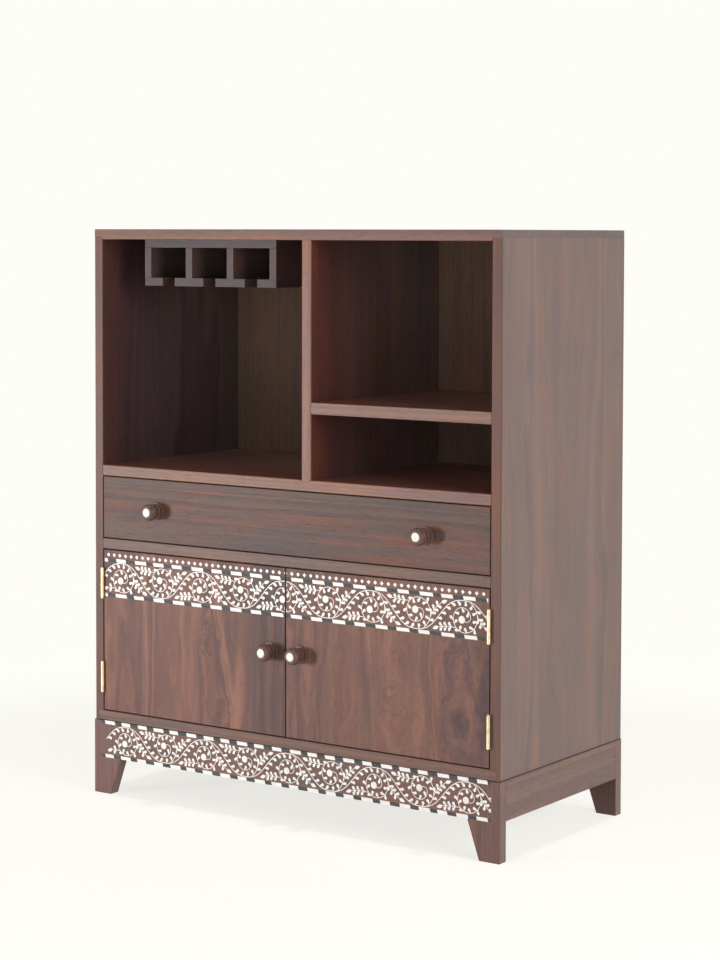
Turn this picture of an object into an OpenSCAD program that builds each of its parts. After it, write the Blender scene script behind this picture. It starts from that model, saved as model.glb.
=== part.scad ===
// Inlaid bar cabinet. A sheesham carcass holds a stemware rack, three open
// compartments, a full-width drawer and a pair of doors, and stands on a low base
// with tapered board legs. Bone and black blocks are let into the doors and the apron.
// The origin is on the floor, midway across the width and midway between the knob
// tips and the back. The front faces -Y.

/* [Carcass] */
// Width over the two side panels
carcass_w = 896; // [840:1:960]
// Depth from the front edges to the back
carcass_d = 424; // [390:1:470]
// Height from the floor to the top surface
cabinet_h = 1067; // [1040:1:1120]
// Thickness of the top panel
top_t = 19; // [16:0.5:22]
// How far the sides reach up into the top panel's rebated ends
top_lap = 6; // [4:0.5:9]
// Thickness of the side panels
side_t = 19; // [18:0.5:22]
// Thickness of the bottom board
bottom_t = 19; // [16:0.5:22]
// Thickness of the back panel
back_t = 9; // [6:0.5:12]
// How far the back panel is let into each side
rebate_w = 8; // [5:0.5:10]
// Width of the eased corner along the front edges
ease = 1; // [0.5:0.1:1.5]

/* [Compartments] */
// Height of the compartment floor's upper face
floor_z = 624; // [610:1:650]
// Thickness of the compartment floor
floor_t = 20; // [17:0.5:22]
// Centre of the divider, right of the cabinet's middle
divider_x = 45; // [-20:1:90]
// Thickness of the divider
divider_t = 20; // [17:0.5:22]
// Height of the right shelf's upper face
shelf_z = 762; // [720:1:860]
// Thickness of the right shelf
shelf_t = 21; // [17:0.5:22]
// Height of the upper face of the board under the drawer
dust_z = 485.5; // [470:0.5:500]
// Thickness of the board under the drawer
dust_t = 20; // [17:0.5:22]
// Depth of the stopped housings in the uprights
housing_d = 7; // [4:0.5:8]
// How far a board's tongue lies below its upper face
shoulder = 4; // [2:0.5:6]
// Depth of the divider's groove in the compartment floor
divider_groove = 3; // [2:0.5:6]
// Distance of the stopped housings from the front edge
housing_stop = 14; // [8:1:20]
// Depth of the bottom board's through housing
foot_housing = 12; // [8:0.5:14]

/* [Stemware rack] */
// Width of the rack
rack_w = 306; // [290:1:330]
// Height of the rack below the top panel
rack_h = 86; // [75:1:100]
// Length of the rack from front to back
rack_d = 310; // [250:1:340]
// Distance of the rack from the front edge
rack_in = 30; // [10:1:50]
// Thickness of the rack's top board
rack_board_t = 15; // [12:0.5:18]
// Thickness of the rack's uprights
rack_wall_t = 15; // [12:0.5:18]
// Thickness of the lips that carry the feet of the glasses
lip_t = 15; // [10:0.5:18]
// Width of the slot for a glass stem
slot_w = 28; // [24:0.5:34]
// Width of each lip under an outer upright
outer_lip_w = 43; // [38:0.5:46]

/* [Base] */
// Height of the base
base_h = 139; // [120:1:160]
// How far the base stands proud of the carcass at the front and sides
base_proud = 2; // [1:0.5:4]
// Thickness of the legs and aprons
leg_t = 21; // [18:0.5:24]
// Width of a leg at its top
leg_w = 64; // [56:1:72]
// Width of a leg at the floor
foot_w = 40; // [32:1:50]
// Height of the aprons
apron_h = 70; // [64:1:80]
// Leg length of the corner blocks
block_w = 34; // [24:1:40]

/* [Drawer] */
// Gap round the drawer front
drawer_gap = 1.5; // [1:0.1:2.5]
// Thickness of the drawer front
front_t = 20; // [18:0.5:24]
// Thickness of the drawer sides and back
box_t = 14; // [12:0.5:16]
// Gap between a drawer side and the cabinet side
box_gap = 2; // [1.5:0.1:3]
// Height of the drawer sides
box_h = 92; // [70:1:100]
// Clear space behind the drawer
box_back_gap = 12; // [6:1:40]
// Depth of the runner grooves and of the side housings in the front
groove_d = 7; // [5:0.5:8]
// Height of the wooden runners
runner_h = 16; // [12:0.5:20]
// Running clearance above and below a runner
runner_clear = 0.3; // [0.2:0.05:0.6]
// Thickness of the drawer bottom
tray_t = 6; // [4:0.5:8]
// Height of the drawer bottom above the lower edge of the sides
tray_up = 9; // [6:0.5:14]

/* [Doors] */
// Thickness of the doors
door_t = 20; // [18:0.5:22]
// Gap above and below the doors
door_gap = 1.5; // [1:0.1:2.5]
// Gap at the hinged edge
hinge_gap = 1.8; // [1.6:0.1:2.4]
// Gap between the two doors
meet_gap = 1.8; // [1.2:0.1:3]

/* [Hinges] */
// Length of a butt hinge
hinge_len = 57; // [45:1:65]
// Radius of the knuckle
knuckle_r = 3.25; // [3:0.05:3.6]
// Radius of the hinge pin
pin_r = 1.25; // [1:0.05:1.5]
// Running clearance round the pin
pin_clear = 0.05; // [0.02:0.01:0.08]
// Thickness of a leaf
leaf_t = 1.5; // [1.2:0.1:1.6]
// Width of a leaf
leaf_w = 18; // [14:0.5:20]
// Space between the closed leaves
leaf_play = 0.4; // [0.2:0.05:0.6]
// Number of knuckles
knuckles = 5; // [3:2:7]
// Height of the middle of the upper hinges
hinge_top_z = 400.5; // [380:0.5:420]
// Height of the middle of the lower hinges
hinge_low_z = 222.5; // [200:0.5:240]

/* [Knobs] */
// Projection of a knob from the front
knob_len = 32; // [28:0.5:38]
// Radius of the knob's flange
flange_r = 16.5; // [14:0.5:18]
// Largest radius of the knob's head
head_r = 15.5; // [13:0.5:17]
// Radius of the bone disc in the tip
disc_r = 7.7; // [6:0.1:9]
// Thickness of the bone disc
disc_t = 2; // [1.5:0.1:3]
// Distance of the drawer knobs from the drawer front's ends
drawer_knob_in = 130; // [100:0.5:180]
// Distance of the door knobs from the cabinet's middle
door_knob_x = 32.5; // [28:0.5:45]
// Height of the door knobs
door_knob_z = 311.5; // [290:0.5:330]

/* [Inlay] */
// Thickness of the inlaid pieces
inlay_t = 2; // [1.5:0.1:3]
// Glue line round each inlaid piece
glue_line = 0.05; // [0.03:0.01:0.1]
// Number of scrolls along a band
scrolls = 9; // [7:2:11]
// Width of the vine's stem
stem_w = 1.5; // [1.2:0.1:2]
// Radius of a flower disc
flower_r = 6.7; // [5:0.1:7]
// Height of the block strips
strip_h = 6.5; // [5:0.5:7.5]
// Bare height above the row of diamonds
diamond_top = 5.5; // [4:0.5:8]
// Height and width of a diamond
diamond_w = 7.8; // [5:0.1:8.5]
// Bare height below the row of diamonds
diamond_gap = 3; // [2:0.1:5]
// Distance between diamonds
diamond_pitch = 13.85; // [12:0.05:18]
// Height of the scroll field on the doors
door_field_h = 59.5; // [55:0.5:62]
// Distance of the door band from a door's hinged edge
band_margin = 2.5; // [2:0.1:4]
// Distance of the door band from a door's meeting edge
meet_margin = 0.8; // [0.6:0.1:2]
// Bare width at each end of the apron band
apron_margin = 17; // [10:1:22]
// Length of a bone block in the door strips
door_dash_l = 25; // [18:0.5:28]
// Distance between bone blocks in the door strips
door_dash_pitch = 45.5; // [40:0.5:52]
// Length of a bone block in the apron strips
apron_dash_l = 22; // [16:0.5:26]
// Distance between bone blocks in the apron strips
apron_dash_pitch = 39.4; // [36:0.1:46]
// Slant of a block's ends
dash_slant = 1.8; // [0:0.1:3]
// How far the door flowers lie right of their even places
door_vine_shift = -7; // [-12:0.5:12]
// How far the apron flowers lie right of their even places
apron_vine_shift = 4; // [-6:0.5:8]

/* [Catches] */
// Width of a magnetic catch
catch_w = 40; // [30:1:50]
// Height of a magnetic catch
catch_h = 12; // [10:0.5:14]
// Depth of a magnetic catch
catch_d = 15; // [12:0.5:20]
// Thickness of a strike plate
strike_t = 1.2; // [1:0.1:1.6]
// Gap between a strike plate and its catch
strike_gap = 0.3; // [0.2:0.1:0.5]
// Distance of a catch's middle from the doors' meeting line
catch_x = 60; // [40:1:90]

/* [Hidden] */
$fn = 64;
half_w = carcass_w / 2;
in_x = half_w - side_t;
front_y = (knob_len - carcass_d) / 2;
back_y = front_y + carcass_d;
inner_back_y = back_y - back_t;
inner_d = carcass_d - back_t;
under_top = cabinet_h - top_t;
floor_under = floor_z - floor_t;
dust_under = dust_z - dust_t;
bottom_top = base_h + bottom_t;
// A hair's overshoot, so that a cut passes clean through a face
over = 1;

bay_left = -in_x;
bay_right = divider_x - divider_t / 2;
rack_x = (bay_left + bay_right) / 2;
rack_y = front_y + rack_in;
rack_bottom = under_top - rack_h;
inner_lip_w = (rack_w - 2 * outer_lip_w - 3 * slot_w) / 2;
// Centre of each inner upright, measured from the rack's middle
rack_wall_x = (slot_w + inner_lip_w) / 2;

base_w = carcass_w + 2 * base_proud;
base_y = front_y - base_proud;
apron_z = base_h - apron_h;

drawer_front_w = 2 * (in_x - drawer_gap);
drawer_knob_x = drawer_front_w / 2 - drawer_knob_in;
drawer_z = dust_z + drawer_gap;
drawer_front_h = floor_under - dust_z - 2 * drawer_gap;
box_x = in_x - box_gap;
box_z = drawer_z + (drawer_front_h - box_h) / 2;
box_y = front_y + front_t;
box_back = inner_back_y - box_back_gap;
groove_h = runner_h + 2 * runner_clear;
groove_z = box_z + (box_h - groove_h) / 2;
runner_t = box_gap + groove_d - 0.4;
tray_z = box_z + tray_up;
tray_groove = 5;

door_z = bottom_top + door_gap;
door_h = dust_under - bottom_top - 2 * door_gap;
door_w = in_x - hinge_gap - meet_gap / 2;
door_top = door_z + door_h;

hinge_x = in_x - hinge_gap / 2;
// The knuckle stands just clear of the front faces, so that the door can fold right back
pin_out = knuckle_r + 0.15;
hinge_y = front_y - pin_out;
leaf_in = leaf_play / 2 + leaf_t - hinge_gap / 2;
leaf_start = pin_out + 0.35;
knuckle_l = hinge_len / knuckles;
knuckle_play = 0.2;
leaf_screw_z = [-hinge_len * 0.36, 0, hinge_len * 0.36];
leaf_screw_y = [leaf_w * 0.62, leaf_w * 0.4, leaf_w * 0.62];
leaf_screw_r = 1.5;
leaf_screw_head_r = 2.9;
leaf_screw_l = 15;
fit_gap = 0.05;

knob_screw_r = 2;
knob_screw_head_r = 4;
knob_screw_head_t = 2;
knob_screw_in = 15;
knob_z = drawer_z + drawer_front_h / 2;

band_top = door_top - diamond_top;
upper_strip_z = band_top - diamond_w - diamond_gap;
door_field_z = upper_strip_z - strip_h - door_field_h / 2;
lower_strip_z = door_field_z - door_field_h / 2;
pitch = 2 * (in_x - band_margin) / scrolls;
apron_field_h = apron_h - 2 * strip_h;
apron_field_z = apron_z + apron_h / 2;
apron_band_x = base_w / 2 - apron_margin;
last_scroll = (scrolls - 1) / 2;
// Seam between the two lengths of the apron band
apron_seam = 0;

walnut = "#6e4a3c";
walnut_dark = "#5b3b30";
inside_wood = "#4a2a22";
rack_wood = "#6b5e59";
bone = "#f3eee0";
black = "#3a3c40";
brass = "#d9c78e";
steel = "#a9abad";
plastic = "#5a463c";

// Section of a board's end with its two front corners eased, front at y = 0
module eased_end(width, depth, e = ease) {
    polygon([[0, e], [e, 0], [width - e, 0], [width, e], [width, depth], [0, depth]]);
}

// Box whose four front edges are eased, with its front lower left corner at the origin
module eased_panel(width, depth, height) {
    intersection() {
        linear_extrude(height) eased_end(width, depth);
        translate([0, 0, height]) rotate([0, 90, 0])
            linear_extrude(width) eased_end(height, depth);
    }
}

// Horizontal board between x0 and x1, its upper face at z_top, its front edges eased
module eased_shelf(x0, x1, z_top, thickness, depth) {
    translate([x0, front_y, z_top]) rotate([0, 90, 0])
        linear_extrude(x1 - x0) eased_end(thickness, depth);
}

// Tongue of a horizontal board in its stopped housings
module housed_tongue(x0, x1, z_top, thickness) {
    translate([x0, front_y + housing_stop, z_top - thickness])
        cube([x1 - x0, inner_d - housing_stop, thickness - shoulder]);
}

module top_panel() {
    color(walnut)
    intersection() {
        translate([-half_w, front_y, cabinet_h]) rotate([0, 90, 0])
            linear_extrude(carcass_w)
            polygon([[0, ease], [ease, 0], [top_t - ease, 0], [top_t, ease],
                     [top_t, carcass_d], [ease, carcass_d], [0, carcass_d - ease]]);
        translate([0, back_y, 0]) rotate([90, 0, 0])
            linear_extrude(carcass_d)
            polygon([[in_x, under_top], [in_x, under_top + top_lap],
                     [half_w, under_top + top_lap],
                     [half_w, cabinet_h - ease], [half_w - ease, cabinet_h],
                     [ease - half_w, cabinet_h], [-half_w, cabinet_h - ease],
                     [-half_w, under_top + top_lap], [-in_x, under_top + top_lap],
                     [-in_x, under_top]]);
    }
}

// Mortise and pilot holes for one frame leaf in the right side panel
module frame_leaf_mortise(z) {
    translate([in_x - over, front_y - over, z - hinge_len / 2])
        cube([leaf_in + over, leaf_w + over, hinge_len]);
    for (i = [0 : len(leaf_screw_z) - 1])
        translate([in_x, front_y + leaf_screw_y[i], z + leaf_screw_z[i]])
        rotate([0, 90, 0])
            cylinder(h = leaf_screw_l + fit_gap, r = leaf_screw_r + fit_gap);
}

// Stopped housing in the right side panel for a board whose upper face is at z_top
module side_housing(z_top, thickness) {
    translate([in_x - over, front_y + housing_stop, z_top - thickness])
        cube([housing_d + over, inner_d - housing_stop, thickness - shoulder]);
}

// Side panel on the right; with_shelf adds the shelf's housing
module side_panel(with_shelf) {
    difference() {
        translate([in_x, front_y, base_h])
            linear_extrude(under_top + top_lap - base_h) eased_end(side_t, carcass_d);
        side_housing(floor_z, floor_t);
        side_housing(dust_z, dust_t);
        if (with_shelf) side_housing(shelf_z, shelf_t);
        translate([in_x - over, front_y - over, base_h - over])
            cube([foot_housing + over, inner_d + over, bottom_t + over]);
        translate([in_x - over, inner_back_y, base_h - over])
            cube([rebate_w + over, back_t + over, under_top - base_h + over]);
        frame_leaf_mortise(hinge_top_z);
        frame_leaf_mortise(hinge_low_z);
    }
}

module left_side_panel() {
    color(walnut) mirror([1, 0, 0]) side_panel(false);
}

module right_side_panel() {
    color(walnut) side_panel(true);
}

module back_panel() {
    color(walnut_dark)
    translate([-in_x - rebate_w, inner_back_y, base_h])
        cube([2 * (in_x + rebate_w), back_t, under_top - base_h]);
}

module divider() {
    color(walnut)
    difference() {
        translate([divider_x - divider_t / 2, front_y, floor_z - divider_groove])
            linear_extrude(under_top - floor_z + divider_groove)
            eased_end(divider_t, inner_d);
        translate([divider_x + divider_t / 2 - housing_d, front_y + housing_stop,
                   shelf_z - shelf_t])
            cube([housing_d + over, inner_d - housing_stop + over, shelf_t - shoulder]);
    }
}

module right_shelf() {
    color(walnut) {
        eased_shelf(divider_x + divider_t / 2, in_x, shelf_z, shelf_t, inner_d);
        housed_tongue(divider_x + divider_t / 2 - housing_d, in_x + housing_d,
                      shelf_z, shelf_t);
    }
}

module compartment_floor() {
    color(walnut)
    difference() {
        union() {
            eased_shelf(-in_x, in_x, floor_z, floor_t, inner_d);
            housed_tongue(-in_x - housing_d, in_x + housing_d, floor_z, floor_t);
        }
        translate([divider_x - divider_t / 2, front_y - over, floor_z - divider_groove])
            cube([divider_t, inner_d + 2 * over, divider_groove + over]);
    }
}

module dust_board() {
    color(walnut) {
        eased_shelf(-in_x, in_x, dust_z, dust_t, inner_d);
        housed_tongue(-in_x - housing_d, in_x + housing_d, dust_z, dust_t);
    }
}

module bottom_board() {
    color(walnut)
    eased_shelf(-in_x - foot_housing, in_x + foot_housing, bottom_top, bottom_t, inner_d);
}

module rack_top_board() {
    color(rack_wood)
    translate([rack_x - rack_w / 2, rack_y, under_top - rack_board_t])
        cube([rack_w, rack_d, rack_board_t]);
}

// Upright of the rack whose middle lies x from the rack's middle
module rack_wall(x) {
    color(rack_wood)
    translate([rack_x + x - rack_wall_t / 2, rack_y, rack_bottom + lip_t])
        cube([rack_wall_t, rack_d, rack_h - rack_board_t - lip_t]);
}

module rack_left_wall() {
    rack_wall((rack_wall_t - rack_w) / 2);
}

module rack_mid_left_wall() {
    rack_wall(-rack_wall_x);
}

module rack_mid_right_wall() {
    rack_wall(rack_wall_x);
}

module rack_right_wall() {
    rack_wall((rack_w - rack_wall_t) / 2);
}

// Four strips under the uprights, with a stem slot between each pair
module rack_lips() {
    color(rack_wood)
    for (lip = [[(outer_lip_w - rack_w) / 2, outer_lip_w], [-rack_wall_x, inner_lip_w],
                [rack_wall_x, inner_lip_w], [(rack_w - outer_lip_w) / 2, outer_lip_w]])
        translate([rack_x + lip[0] - lip[1] / 2, rack_y, rack_bottom])
            cube([lip[1], rack_d, lip_t]);
}

// Board leg with a straight outer edge and an inner edge that tapers to the floor,
// at the right; the outer corner is eased
module board_leg() {
    intersection() {
        rotate([90, 0, 0]) linear_extrude(leg_t + over)
            polygon([[base_w / 2, 0], [base_w / 2, base_h], [base_w / 2 - leg_w, base_h],
                     [base_w / 2 - leg_w, apron_z], [base_w / 2 - foot_w, 0]]);
        translate([base_w / 2 - leg_w, -leg_t, 0])
            linear_extrude(base_h)
            polygon([[0, 0], [leg_w - ease, 0], [leg_w, ease], [leg_w, leg_t], [0, leg_t]]);
    }
}

module front_left_leg() {
    color(walnut)
    difference() {
        translate([0, base_y + leg_t, 0]) mirror([1, 0, 0]) board_leg();
        apron_pockets(-base_w / 2, leg_w - base_w / 2 + over);
    }
}

module front_right_leg() {
    color(walnut)
    difference() {
        translate([0, base_y + leg_t, 0]) board_leg();
        apron_pockets(base_w / 2 - leg_w - over, base_w / 2);
    }
}

module back_left_leg() {
    color(walnut)
    translate([0, back_y - leg_t, 0]) mirror([1, 0, 0]) mirror([0, 1, 0]) board_leg();
}

module back_right_leg() {
    color(walnut)
    translate([0, back_y - leg_t, 0]) mirror([0, 1, 0]) board_leg();
}

module front_apron() {
    color(walnut)
    difference() {
        translate([leg_w - base_w / 2, base_y, apron_z])
            cube([base_w - 2 * leg_w, leg_t, apron_h]);
        apron_pockets(leg_w - base_w / 2 - over, base_w / 2 - leg_w + over);
    }
}

module back_apron() {
    color(walnut_dark)
    translate([leg_w - base_w / 2, back_y - leg_t, apron_z])
        cube([base_w - 2 * leg_w, leg_t, apron_h]);
}

module left_apron() {
    color(walnut)
    translate([-base_w / 2, base_y + leg_t, apron_z])
        cube([leg_t, back_y - base_y - 2 * leg_t, apron_h]);
}

module right_apron() {
    color(walnut)
    translate([base_w / 2 - leg_t, base_y + leg_t, apron_z])
        cube([leg_t, back_y - base_y - 2 * leg_t, apron_h]);
}

// Glued triangular blocks in the four inner corners of the base
module corner_blocks() {
    color(walnut_dark)
    for (side = [0, 1]) mirror([side, 0, 0]) {
        translate([base_w / 2 - leg_t, base_y + leg_t, apron_z])
            linear_extrude(apron_h)
            polygon([[0, 0], [0, block_w], [-block_w, 0]]);
        translate([base_w / 2 - leg_t, back_y - leg_t, apron_z])
            linear_extrude(apron_h)
            polygon([[0, 0], [-block_w, 0], [0, -block_w]]);
    }
}

// Wooden runner screwed to the right side panel
module runner() {
    color(rack_wood)
    translate([in_x - runner_t, box_y + box_gap, groove_z + runner_clear])
        cube([runner_t, box_back - box_y - box_gap, runner_h]);
}

module left_runner() {
    mirror([1, 0, 0]) runner();
}

module right_runner() {
    runner();
}

// True when knuckle i belongs to the leaf named by owner: 0 frame, 1 door
function owns(i, owner) = i % 2 == owner;

// One leaf of a butt hinge about its pin axis, with the plate on the +X side.
// The frame leaf owns the even knuckles and the door leaf the odd ones.
module hinge_leaf(owner) {
    difference() {
        union() {
            translate([leaf_play / 2, leaf_start, -hinge_len / 2])
                cube([leaf_t, pin_out + leaf_w - leaf_start, hinge_len]);
            for (i = [0 : knuckles - 1])
                if (owns(i, owner))
                    translate([0, 0, i * knuckle_l - hinge_len / 2 + knuckle_play / 2]) {
                        cylinder(h = knuckle_l - knuckle_play, r = knuckle_r);
                        translate([leaf_play / 2, 0, 0])
                            cube([leaf_t, leaf_start + over, knuckle_l - knuckle_play]);
                    }
        }
        translate([0, 0, -hinge_len]) cylinder(h = 2 * hinge_len, r = pin_r + pin_clear);
        for (i = [0 : len(leaf_screw_z) - 1])
            translate([leaf_play / 2, pin_out + leaf_screw_y[i], leaf_screw_z[i]])
            rotate([0, 90, 0])
                cylinder(h = leaf_t, r1 = leaf_screw_head_r + fit_gap,
                         r2 = leaf_screw_r + fit_gap);
    }
}

// Countersunk screws of one leaf, about the pin axis
module leaf_screws() {
    for (i = [0 : len(leaf_screw_z) - 1])
        translate([leaf_play / 2, pin_out + leaf_screw_y[i], leaf_screw_z[i]])
        rotate([0, 90, 0]) rotate_extrude()
            polygon([[0, 0], [leaf_screw_head_r, 0], [leaf_screw_r, leaf_t],
                     [leaf_screw_r, leaf_screw_l - 2], [0, leaf_screw_l]]);
}

// Places its children at the two hinges on the right
module at_hinges() {
    for (z = [hinge_top_z, hinge_low_z])
        translate([hinge_x, hinge_y, z]) children();
}

module hinge_frame_leaves() {
    color(brass)
    for (side = [0, 1]) mirror([side, 0, 0]) at_hinges() hinge_leaf(0);
}

module hinge_pins() {
    head_r = knuckle_r - 0.5;
    head_t = 1.2;
    color(brass)
    for (side = [0, 1]) mirror([side, 0, 0]) at_hinges() rotate_extrude()
        polygon([[0, -hinge_len / 2 - head_t], [head_r - 0.6, -hinge_len / 2 - head_t],
                 [head_r, -hinge_len / 2], [pin_r, -hinge_len / 2],
                 [pin_r, hinge_len / 2], [head_r, hinge_len / 2],
                 [head_r - 0.6, hinge_len / 2 + head_t], [0, hinge_len / 2 + head_t]]);
}

module frame_leaf_screws() {
    color(brass)
    for (side = [0, 1]) mirror([side, 0, 0]) at_hinges() leaf_screws();
}

// Door leaf or its screws: the plate turns to the door's side of the pin
module on_door_side() {
    mirror([1, 0, 0]) children();
}

module right_door_leaves() {
    color(brass) at_hinges() on_door_side() hinge_leaf(1);
}

module left_door_leaves() {
    color(brass) mirror([1, 0, 0]) at_hinges() on_door_side() hinge_leaf(1);
}

module right_door_leaf_screws() {
    color(brass) at_hinges() on_door_side() leaf_screws();
}

module left_door_leaf_screws() {
    color(brass) mirror([1, 0, 0]) at_hinges() on_door_side() leaf_screws();
}

module door_catches() {
    color(plastic)
    for (side = [-1, 1])
        translate([side * catch_x - catch_w / 2, front_y + door_t + strike_t + strike_gap,
                   dust_under - catch_h])
            cube([catch_w, catch_d, catch_h]);
}

// Strike plate on the back of a door, side is -1 on the left and 1 on the right
module strike_plate(side) {
    color(steel)
    translate([side * catch_x - catch_w / 2, front_y + door_t, dust_under - catch_h])
        cube([catch_w, strike_t, catch_h - door_gap - ease]);
}

module left_strike_plate() {
    strike_plate(-1);
}

module right_strike_plate() {
    strike_plate(1);
}

// Turned knob, its flange on the front plane at the given place
module knob(x, z) {
    tip_r = disc_r + 1.8;
    neck_r = head_r * 0.66;
    bead_r = head_r * 0.9;
    color(walnut_dark)
    translate([x, front_y, z]) rotate([90, 0, 0])
    difference() {
        rotate_extrude()
            polygon(concat(
                [[0, 0], [flange_r - 0.8, 0], [flange_r, 0.8]],
                [for (a = [0 : 30 : 90]) [flange_r - 1.2 + 1.2 * cos(a), 2.2 + 1.2 * sin(a)]],
                [[bead_r - 1.4, 3.8], [neck_r + 0.6, 5.6]],
                [for (a = [-90 : 30 : 90]) [bead_r - 1.7 + 1.7 * cos(a), 7.9 + 1.7 * sin(a)]],
                [[neck_r, 10.6], [neck_r, 12]],
                [for (a = [-60 : 15 : 75])
                    [tip_r + (head_r - tip_r) * cos(a), 21.5 + 9.9 * sin(a)]],
                [[tip_r - 0.3, knob_len - 0.35], [0, knob_len - 0.35]]));
        translate([0, 0, knob_len - disc_t]) cylinder(h = disc_t + over, r = disc_r + fit_gap);
        translate([0, 0, -over]) cylinder(h = knob_screw_in + over, r = knob_screw_r + fit_gap);
    }
}

// Bone disc, a little domed, in the tip of a knob
module knob_disc(x, z) {
    color(bone)
    translate([x, front_y, z]) rotate([90, 0, 0])
    rotate_extrude()
        polygon([[0, knob_len - disc_t], [disc_r, knob_len - disc_t],
                 [disc_r, knob_len - 0.35], [disc_r * 0.8, knob_len - 0.1], [0, knob_len]]);
}

// Round-headed screw through a front of the given thickness into a knob
module knob_screw(x, z, thickness) {
    color(steel)
    translate([x, front_y, z]) rotate([90, 0, 0])
    rotate_extrude()
        polygon([[0, -thickness - knob_screw_head_t],
                 [knob_screw_head_r * 0.6, -thickness - knob_screw_head_t],
                 [knob_screw_head_r, -thickness - 0.6], [knob_screw_head_r, -thickness],
                 [knob_screw_r, -thickness], [knob_screw_r, knob_screw_in - 1],
                 [0, knob_screw_in - 1]]);
}

// Clearance hole for a knob's screw
module knob_hole(x, z, thickness) {
    translate([x, front_y + thickness + over, z]) rotate([90, 0, 0])
        cylinder(h = thickness + 2 * over, r = knob_screw_r + fit_gap);
}

module drawer_front() {
    color(walnut_dark)
    difference() {
        translate([-drawer_front_w / 2, front_y, drawer_z])
            eased_panel(drawer_front_w, front_t, drawer_front_h);
        for (side = [0, 1]) mirror([side, 0, 0])
            translate([box_x - box_t, box_y - groove_d, box_z])
                cube([box_t, groove_d + over, box_h]);
        translate([-box_x + box_t - groove_d, box_y - groove_d, tray_z])
            cube([2 * (box_x - box_t + groove_d), groove_d + over, tray_t]);
        knob_hole(-drawer_knob_x, knob_z, front_t);
        knob_hole(drawer_knob_x, knob_z, front_t);
    }
}

// Drawer side on the right, grooved outside for the runner and inside for the bottom
module drawer_side() {
    color(rack_wood)
    difference() {
        translate([box_x - box_t, box_y - groove_d, box_z])
            cube([box_t, box_back - box_y + groove_d, box_h]);
        translate([box_x - groove_d, box_y, groove_z])
            cube([groove_d + over, box_back - box_y + over, groove_h]);
        translate([box_x - box_t - over, box_y - groove_d - over, tray_z])
            cube([tray_groove + over, box_back - box_y + groove_d + 2 * over, tray_t]);
    }
}

module drawer_left_side() {
    mirror([1, 0, 0]) drawer_side();
}

module drawer_right_side() {
    drawer_side();
}

module drawer_back() {
    color(rack_wood)
    translate([box_t - box_x, box_back - box_t, tray_z + tray_t])
        cube([2 * (box_x - box_t), box_t, box_z + box_h - tray_z - tray_t]);
}

module drawer_bottom() {
    color(rack_wood)
    translate([box_t - tray_groove - box_x, box_y - groove_d, tray_z])
        cube([2 * (box_x - box_t + tray_groove), box_back - box_y + groove_d, tray_t]);
}

module drawer_left_knob() {
    knob(-drawer_knob_x, knob_z);
}

module drawer_right_knob() {
    knob(drawer_knob_x, knob_z);
}

module drawer_knob_discs() {
    for (side = [-1, 1]) knob_disc(side * drawer_knob_x, knob_z);
}

module drawer_knob_screws() {
    for (side = [-1, 1]) knob_screw(side * drawer_knob_x, knob_z, front_t);
}

// Door on the right, with the hinge mortises and the knob's hole
module door_blank() {
    difference() {
        translate([meet_gap / 2, front_y, door_z]) eased_panel(door_w, door_t, door_h);
        for (z = [hinge_top_z, hinge_low_z]) {
            translate([meet_gap / 2 + door_w - leaf_in, front_y - over, z - hinge_len / 2])
                cube([leaf_in + over, leaf_w + over, hinge_len]);
            for (i = [0 : len(leaf_screw_z) - 1])
                translate([meet_gap / 2 + door_w, front_y + leaf_screw_y[i],
                           z + leaf_screw_z[i]])
                rotate([0, -90, 0])
                    cylinder(h = leaf_screw_l + fit_gap, r = leaf_screw_r + fit_gap);
        }
        knob_hole(door_knob_x, door_knob_z, door_t);
    }
}

module left_door_panel() {
    color(walnut)
    difference() {
        mirror([1, 0, 0]) door_blank();
        into_front(front_y) door_pocket_outline(-1);
    }
}

module right_door_panel() {
    color(walnut)
    difference() {
        door_blank();
        into_front(front_y) door_pocket_outline(1);
    }
}

module left_door_knob() {
    knob(-door_knob_x, door_knob_z);
}

module right_door_knob() {
    knob(door_knob_x, door_knob_z);
}

module left_door_knob_disc() {
    knob_disc(-door_knob_x, door_knob_z);
}

module right_door_knob_disc() {
    knob_disc(door_knob_x, door_knob_z);
}

module left_door_knob_screw() {
    knob_screw(-door_knob_x, door_knob_z, door_t);
}

module right_door_knob_screw() {
    knob_screw(door_knob_x, door_knob_z, door_t);
}

// Inlay outlines are drawn in the XZ plane as 2D shapes, x to the right and z up

// Height of the main stem over its mid line, x from a crest; the second term fattens
// the crests as a carver draws them
function stem_z(x, h) =
    (h / 2 - 0.5 - stem_w / 2)
    * (cos(180 * x / pitch) - 0.07 * cos(540 * x / pitch)) / 0.93;

// Eases from 0 to 1 while t runs from 0 to 1
function ease_in(t) = (1 - cos(180 * min(max(t, 0), 1))) / 2;

// Radius of a scroll at angle a, which falls from scroll_from to scroll_to:
// a wide outer turn, a round inner turn, and a curl in to the flower
scroll_from = 58;
scroll_to = -440;
function scroll_r(a, h) =
    h / door_field_h
    * (16.8 + 14 * (1 - ease_in(-a / 215)) - 10 * ease_in((-360 - a) / 80));

// Point of a scroll, from the flower's place in a cell
function scroll_pt(a, h) =
    [0.8 + scroll_r(a, h) * cos(a) * pitch / 94.9, -0.5 + scroll_r(a, h) * sin(a)];

// Unit normal to the left of a path at point i
function path_normal(path, i) =
    let (n = len(path) - 1,
         d = path[min(i + 1, n)] - path[max(i - 1, 0)])
    [-d[1], d[0]] / norm(d);

// Band along a path, from width w0 at its start to w1 at its end
module stroke(path, w0, w1) {
    n = len(path) - 1;
    polygon(concat(
        [for (i = [0 : n]) path[i] + path_normal(path, i) * (w0 + (w1 - w0) * i / n) / 2],
        [for (i = [n : -1 : 0]) path[i] - path_normal(path, i) * (w0 + (w1 - w0) * i / n) / 2]));
}

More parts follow.
